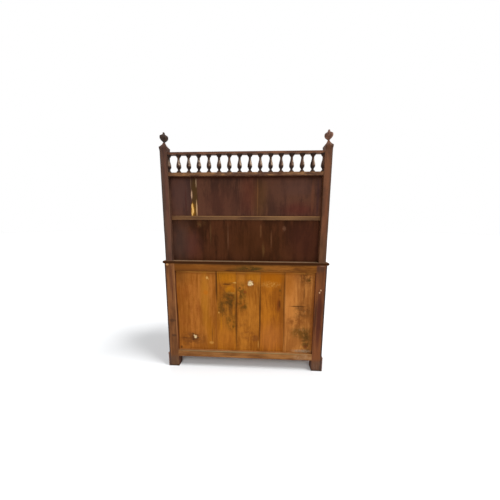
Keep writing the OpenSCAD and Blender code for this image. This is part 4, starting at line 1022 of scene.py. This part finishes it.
def clean_shading_group():
    """Joins the split points of an imported mesh and shades it smooth up to the real edges."""
    tree = bpy.data.node_groups.new("clean_shading", "GeometryNodeTree")
    tree.interface.new_socket("Geometry", in_out="INPUT", socket_type="NodeSocketGeometry")
    tree.interface.new_socket("Geometry", in_out="OUTPUT", socket_type="NodeSocketGeometry")
    given = tree.nodes.new("NodeGroupInput").outputs[0]
    result = tree.nodes.new("NodeGroupOutput").inputs[0]
    merged = add(tree, "GeometryNodeMergeByDistance", {0: given, "Distance": SAME_POINT}).outputs[0]
    bare = add(tree, "GeometryNodeRemoveAttribute", {0: merged, "Name": "custom_normal"}).outputs[0]
    smooth = add(tree, "GeometryNodeSetShadeSmooth", {0: bare, "Shade Smooth": True}, domain="FACE")
    angle = add(tree, "GeometryNodeInputMeshEdgeAngle").outputs["Unsigned Angle"]
    flat = add(tree, "FunctionNodeCompare", {0: angle, 1: CREASE_ANGLE}, operation="LESS_THAN")
    edges = {0: smooth.outputs[0], "Shade Smooth": flat.outputs[0]}
    creased = add(tree, "GeometryNodeSetShadeSmooth", edges, domain="EDGE")
    tree.links.new(creased.outputs[0], result)
    return tree


EASED = 0.0012
EASED_FROM_ANGLE = math.radians(40)
# Turned and small pieces keep their own edges
SHARP_PIECES = ("baluster", "finial", "knob", "hinge", "dowel")


def ease_edges():
    """Smooth shading everywhere, and lightly rounded edges that catch the light."""
    shading = clean_shading_group()
    for name, piece in nodes.items():
        clean = piece.modifiers.new("clean_shading", "NODES")
        clean.node_group = shading
        if any(word in name for word in SHARP_PIECES):
            continue
        bevel = piece.modifiers.new("eased_edges", "BEVEL")
        bevel.width = EASED
        bevel.segments = 2
        bevel.limit_method = "ANGLE"
        bevel.angle_limit = EASED_FROM_ANGLE
        bevel.harden_normals = True


FLOOR_WIDTH = 60
# The floor's colour as it lights the piece, and as it is seen
FLOOR_TONE = (0.72, 0.72, 0.72, 1.0)
FLOOR_SEEN = (0.77, 0.78, 0.79, 1.0)
SKY_LEVEL = 0.19
# Each lamp: the direction towards it, its strength and the width of its disc in degrees
LAMPS = {
    "ceiling": ((0.0, 0.0, 1.0), 0.35, 6),
    "key": ((-0.57, 0.14, 0.80), 2.85, 25),
    "back": ((0.0, 0.76, 0.65), 1.47, 34),
    "fill": ((0.30, -0.74, 0.60), 0.95, 26),
}


def direct_rays(tree):
    """1 for rays that show the background: from the camera, a gloss or a clear piece."""
    rays = add(tree, "ShaderNodeLightPath").outputs
    seen = calc(tree, "MAXIMUM", rays["Is Camera Ray"], rays["Is Glossy Ray"])
    return calc(tree, "MAXIMUM", seen, rays["Is Transmission Ray"])


def stage_floor():
    """A plain white floor that keeps the shadow."""
    bpy.ops.mesh.primitive_plane_add(size=FLOOR_WIDTH)
    floor = bpy.context.object
    floor.name = "floor"
    material = bpy.data.materials.new("floor_white")
    material.use_nodes = True
    tree = material.node_tree
    tree.nodes.clear()
    colour = mix(tree, direct_rays(tree), FLOOR_TONE, FLOOR_SEEN)
    white = add(tree, "ShaderNodeBsdfDiffuse", {"Color": colour})
    target = add(tree, "ShaderNodeOutputMaterial")
    tree.links.new(white.outputs[0], target.inputs["Surface"])
    floor.data.materials.append(material)


def light_scene():
    """A key lamp, softer ones on the back and on the doors, a faint one from above, and an even sky."""
    for name, (towards, level, spread) in LAMPS.items():
        lamp = bpy.data.lights.new(name, "SUN")
        lamp.energy = level
        lamp.angle = math.radians(spread)
        holder = bpy.data.objects.new(name, lamp)
        holder.rotation_mode = "QUATERNION"
        holder.rotation_quaternion = Vector(towards).to_track_quat("Z", "Y")
        bpy.context.scene.collection.objects.link(holder)
    world = bpy.data.worlds.new("sky")
    world.use_nodes = True
    tree = world.node_tree
    tree.nodes.clear()
    strength = fade(tree, direct_rays(tree), 0.0, 1.0, SKY_LEVEL, 1.0)
    sky = add(tree, "ShaderNodeBackground", {"Color": (1.0, 1.0, 1.0, 1.0), "Strength": strength})
    target = add(tree, "ShaderNodeOutputWorld")
    tree.links.new(sky.outputs[0], target.inputs["Surface"])
    bpy.context.scene.world = world


def place_camera():
    """The photograph's camera: close, wide, and turned a little down."""
    ahead = Vector((math.sin(CAMERA_YAW) * math.cos(CAMERA_PITCH),
                    math.cos(CAMERA_YAW) * math.cos(CAMERA_PITCH), -math.sin(CAMERA_PITCH)))
    level_right = Vector((math.cos(CAMERA_YAW), -math.sin(CAMERA_YAW), 0.0))
    right = math.cos(CAMERA_ROLL) * level_right + math.sin(CAMERA_ROLL) * ahead.cross(level_right)
    up = right.cross(ahead)
    # The angles are those of a viewer who faces +Y, so the axes turn half round to look at the back
    half_turn = Matrix.Rotation(math.pi, 3, "Z")
    axes = [half_turn @ axis for axis in (right, up, -ahead)]
    lens = bpy.data.cameras.new("photo_camera")
    lens.sensor_width = SENSOR_WIDTH
    lens.lens = FOCAL_PIXELS / FRAME_PIXELS * SENSOR_WIDTH
    lens.clip_start = 0.05
    lens.clip_end = 200.0
    camera = bpy.data.objects.new("photo_camera", lens)
    bpy.context.scene.collection.objects.link(camera)
    camera.matrix_world = Matrix.Translation(CAMERA_PLACE) @ Matrix(axes).transposed().to_4x4()
    bpy.context.scene.camera = camera


place_camera()
dress_board_1()
dress_board_2()
dress_board_3()
dress_board_4()
dress_board_5()
dress_back_rails()
dress_back_posts()
dress_rack_posts()
dress_rack_boards()
dress_gallery()
dress_worktop()
dress_show_wood()
dress_inside()
make_hinges()
ease_edges()
stage_floor()
light_scene()
bpy.context.scene.view_settings.view_transform = "Standard"
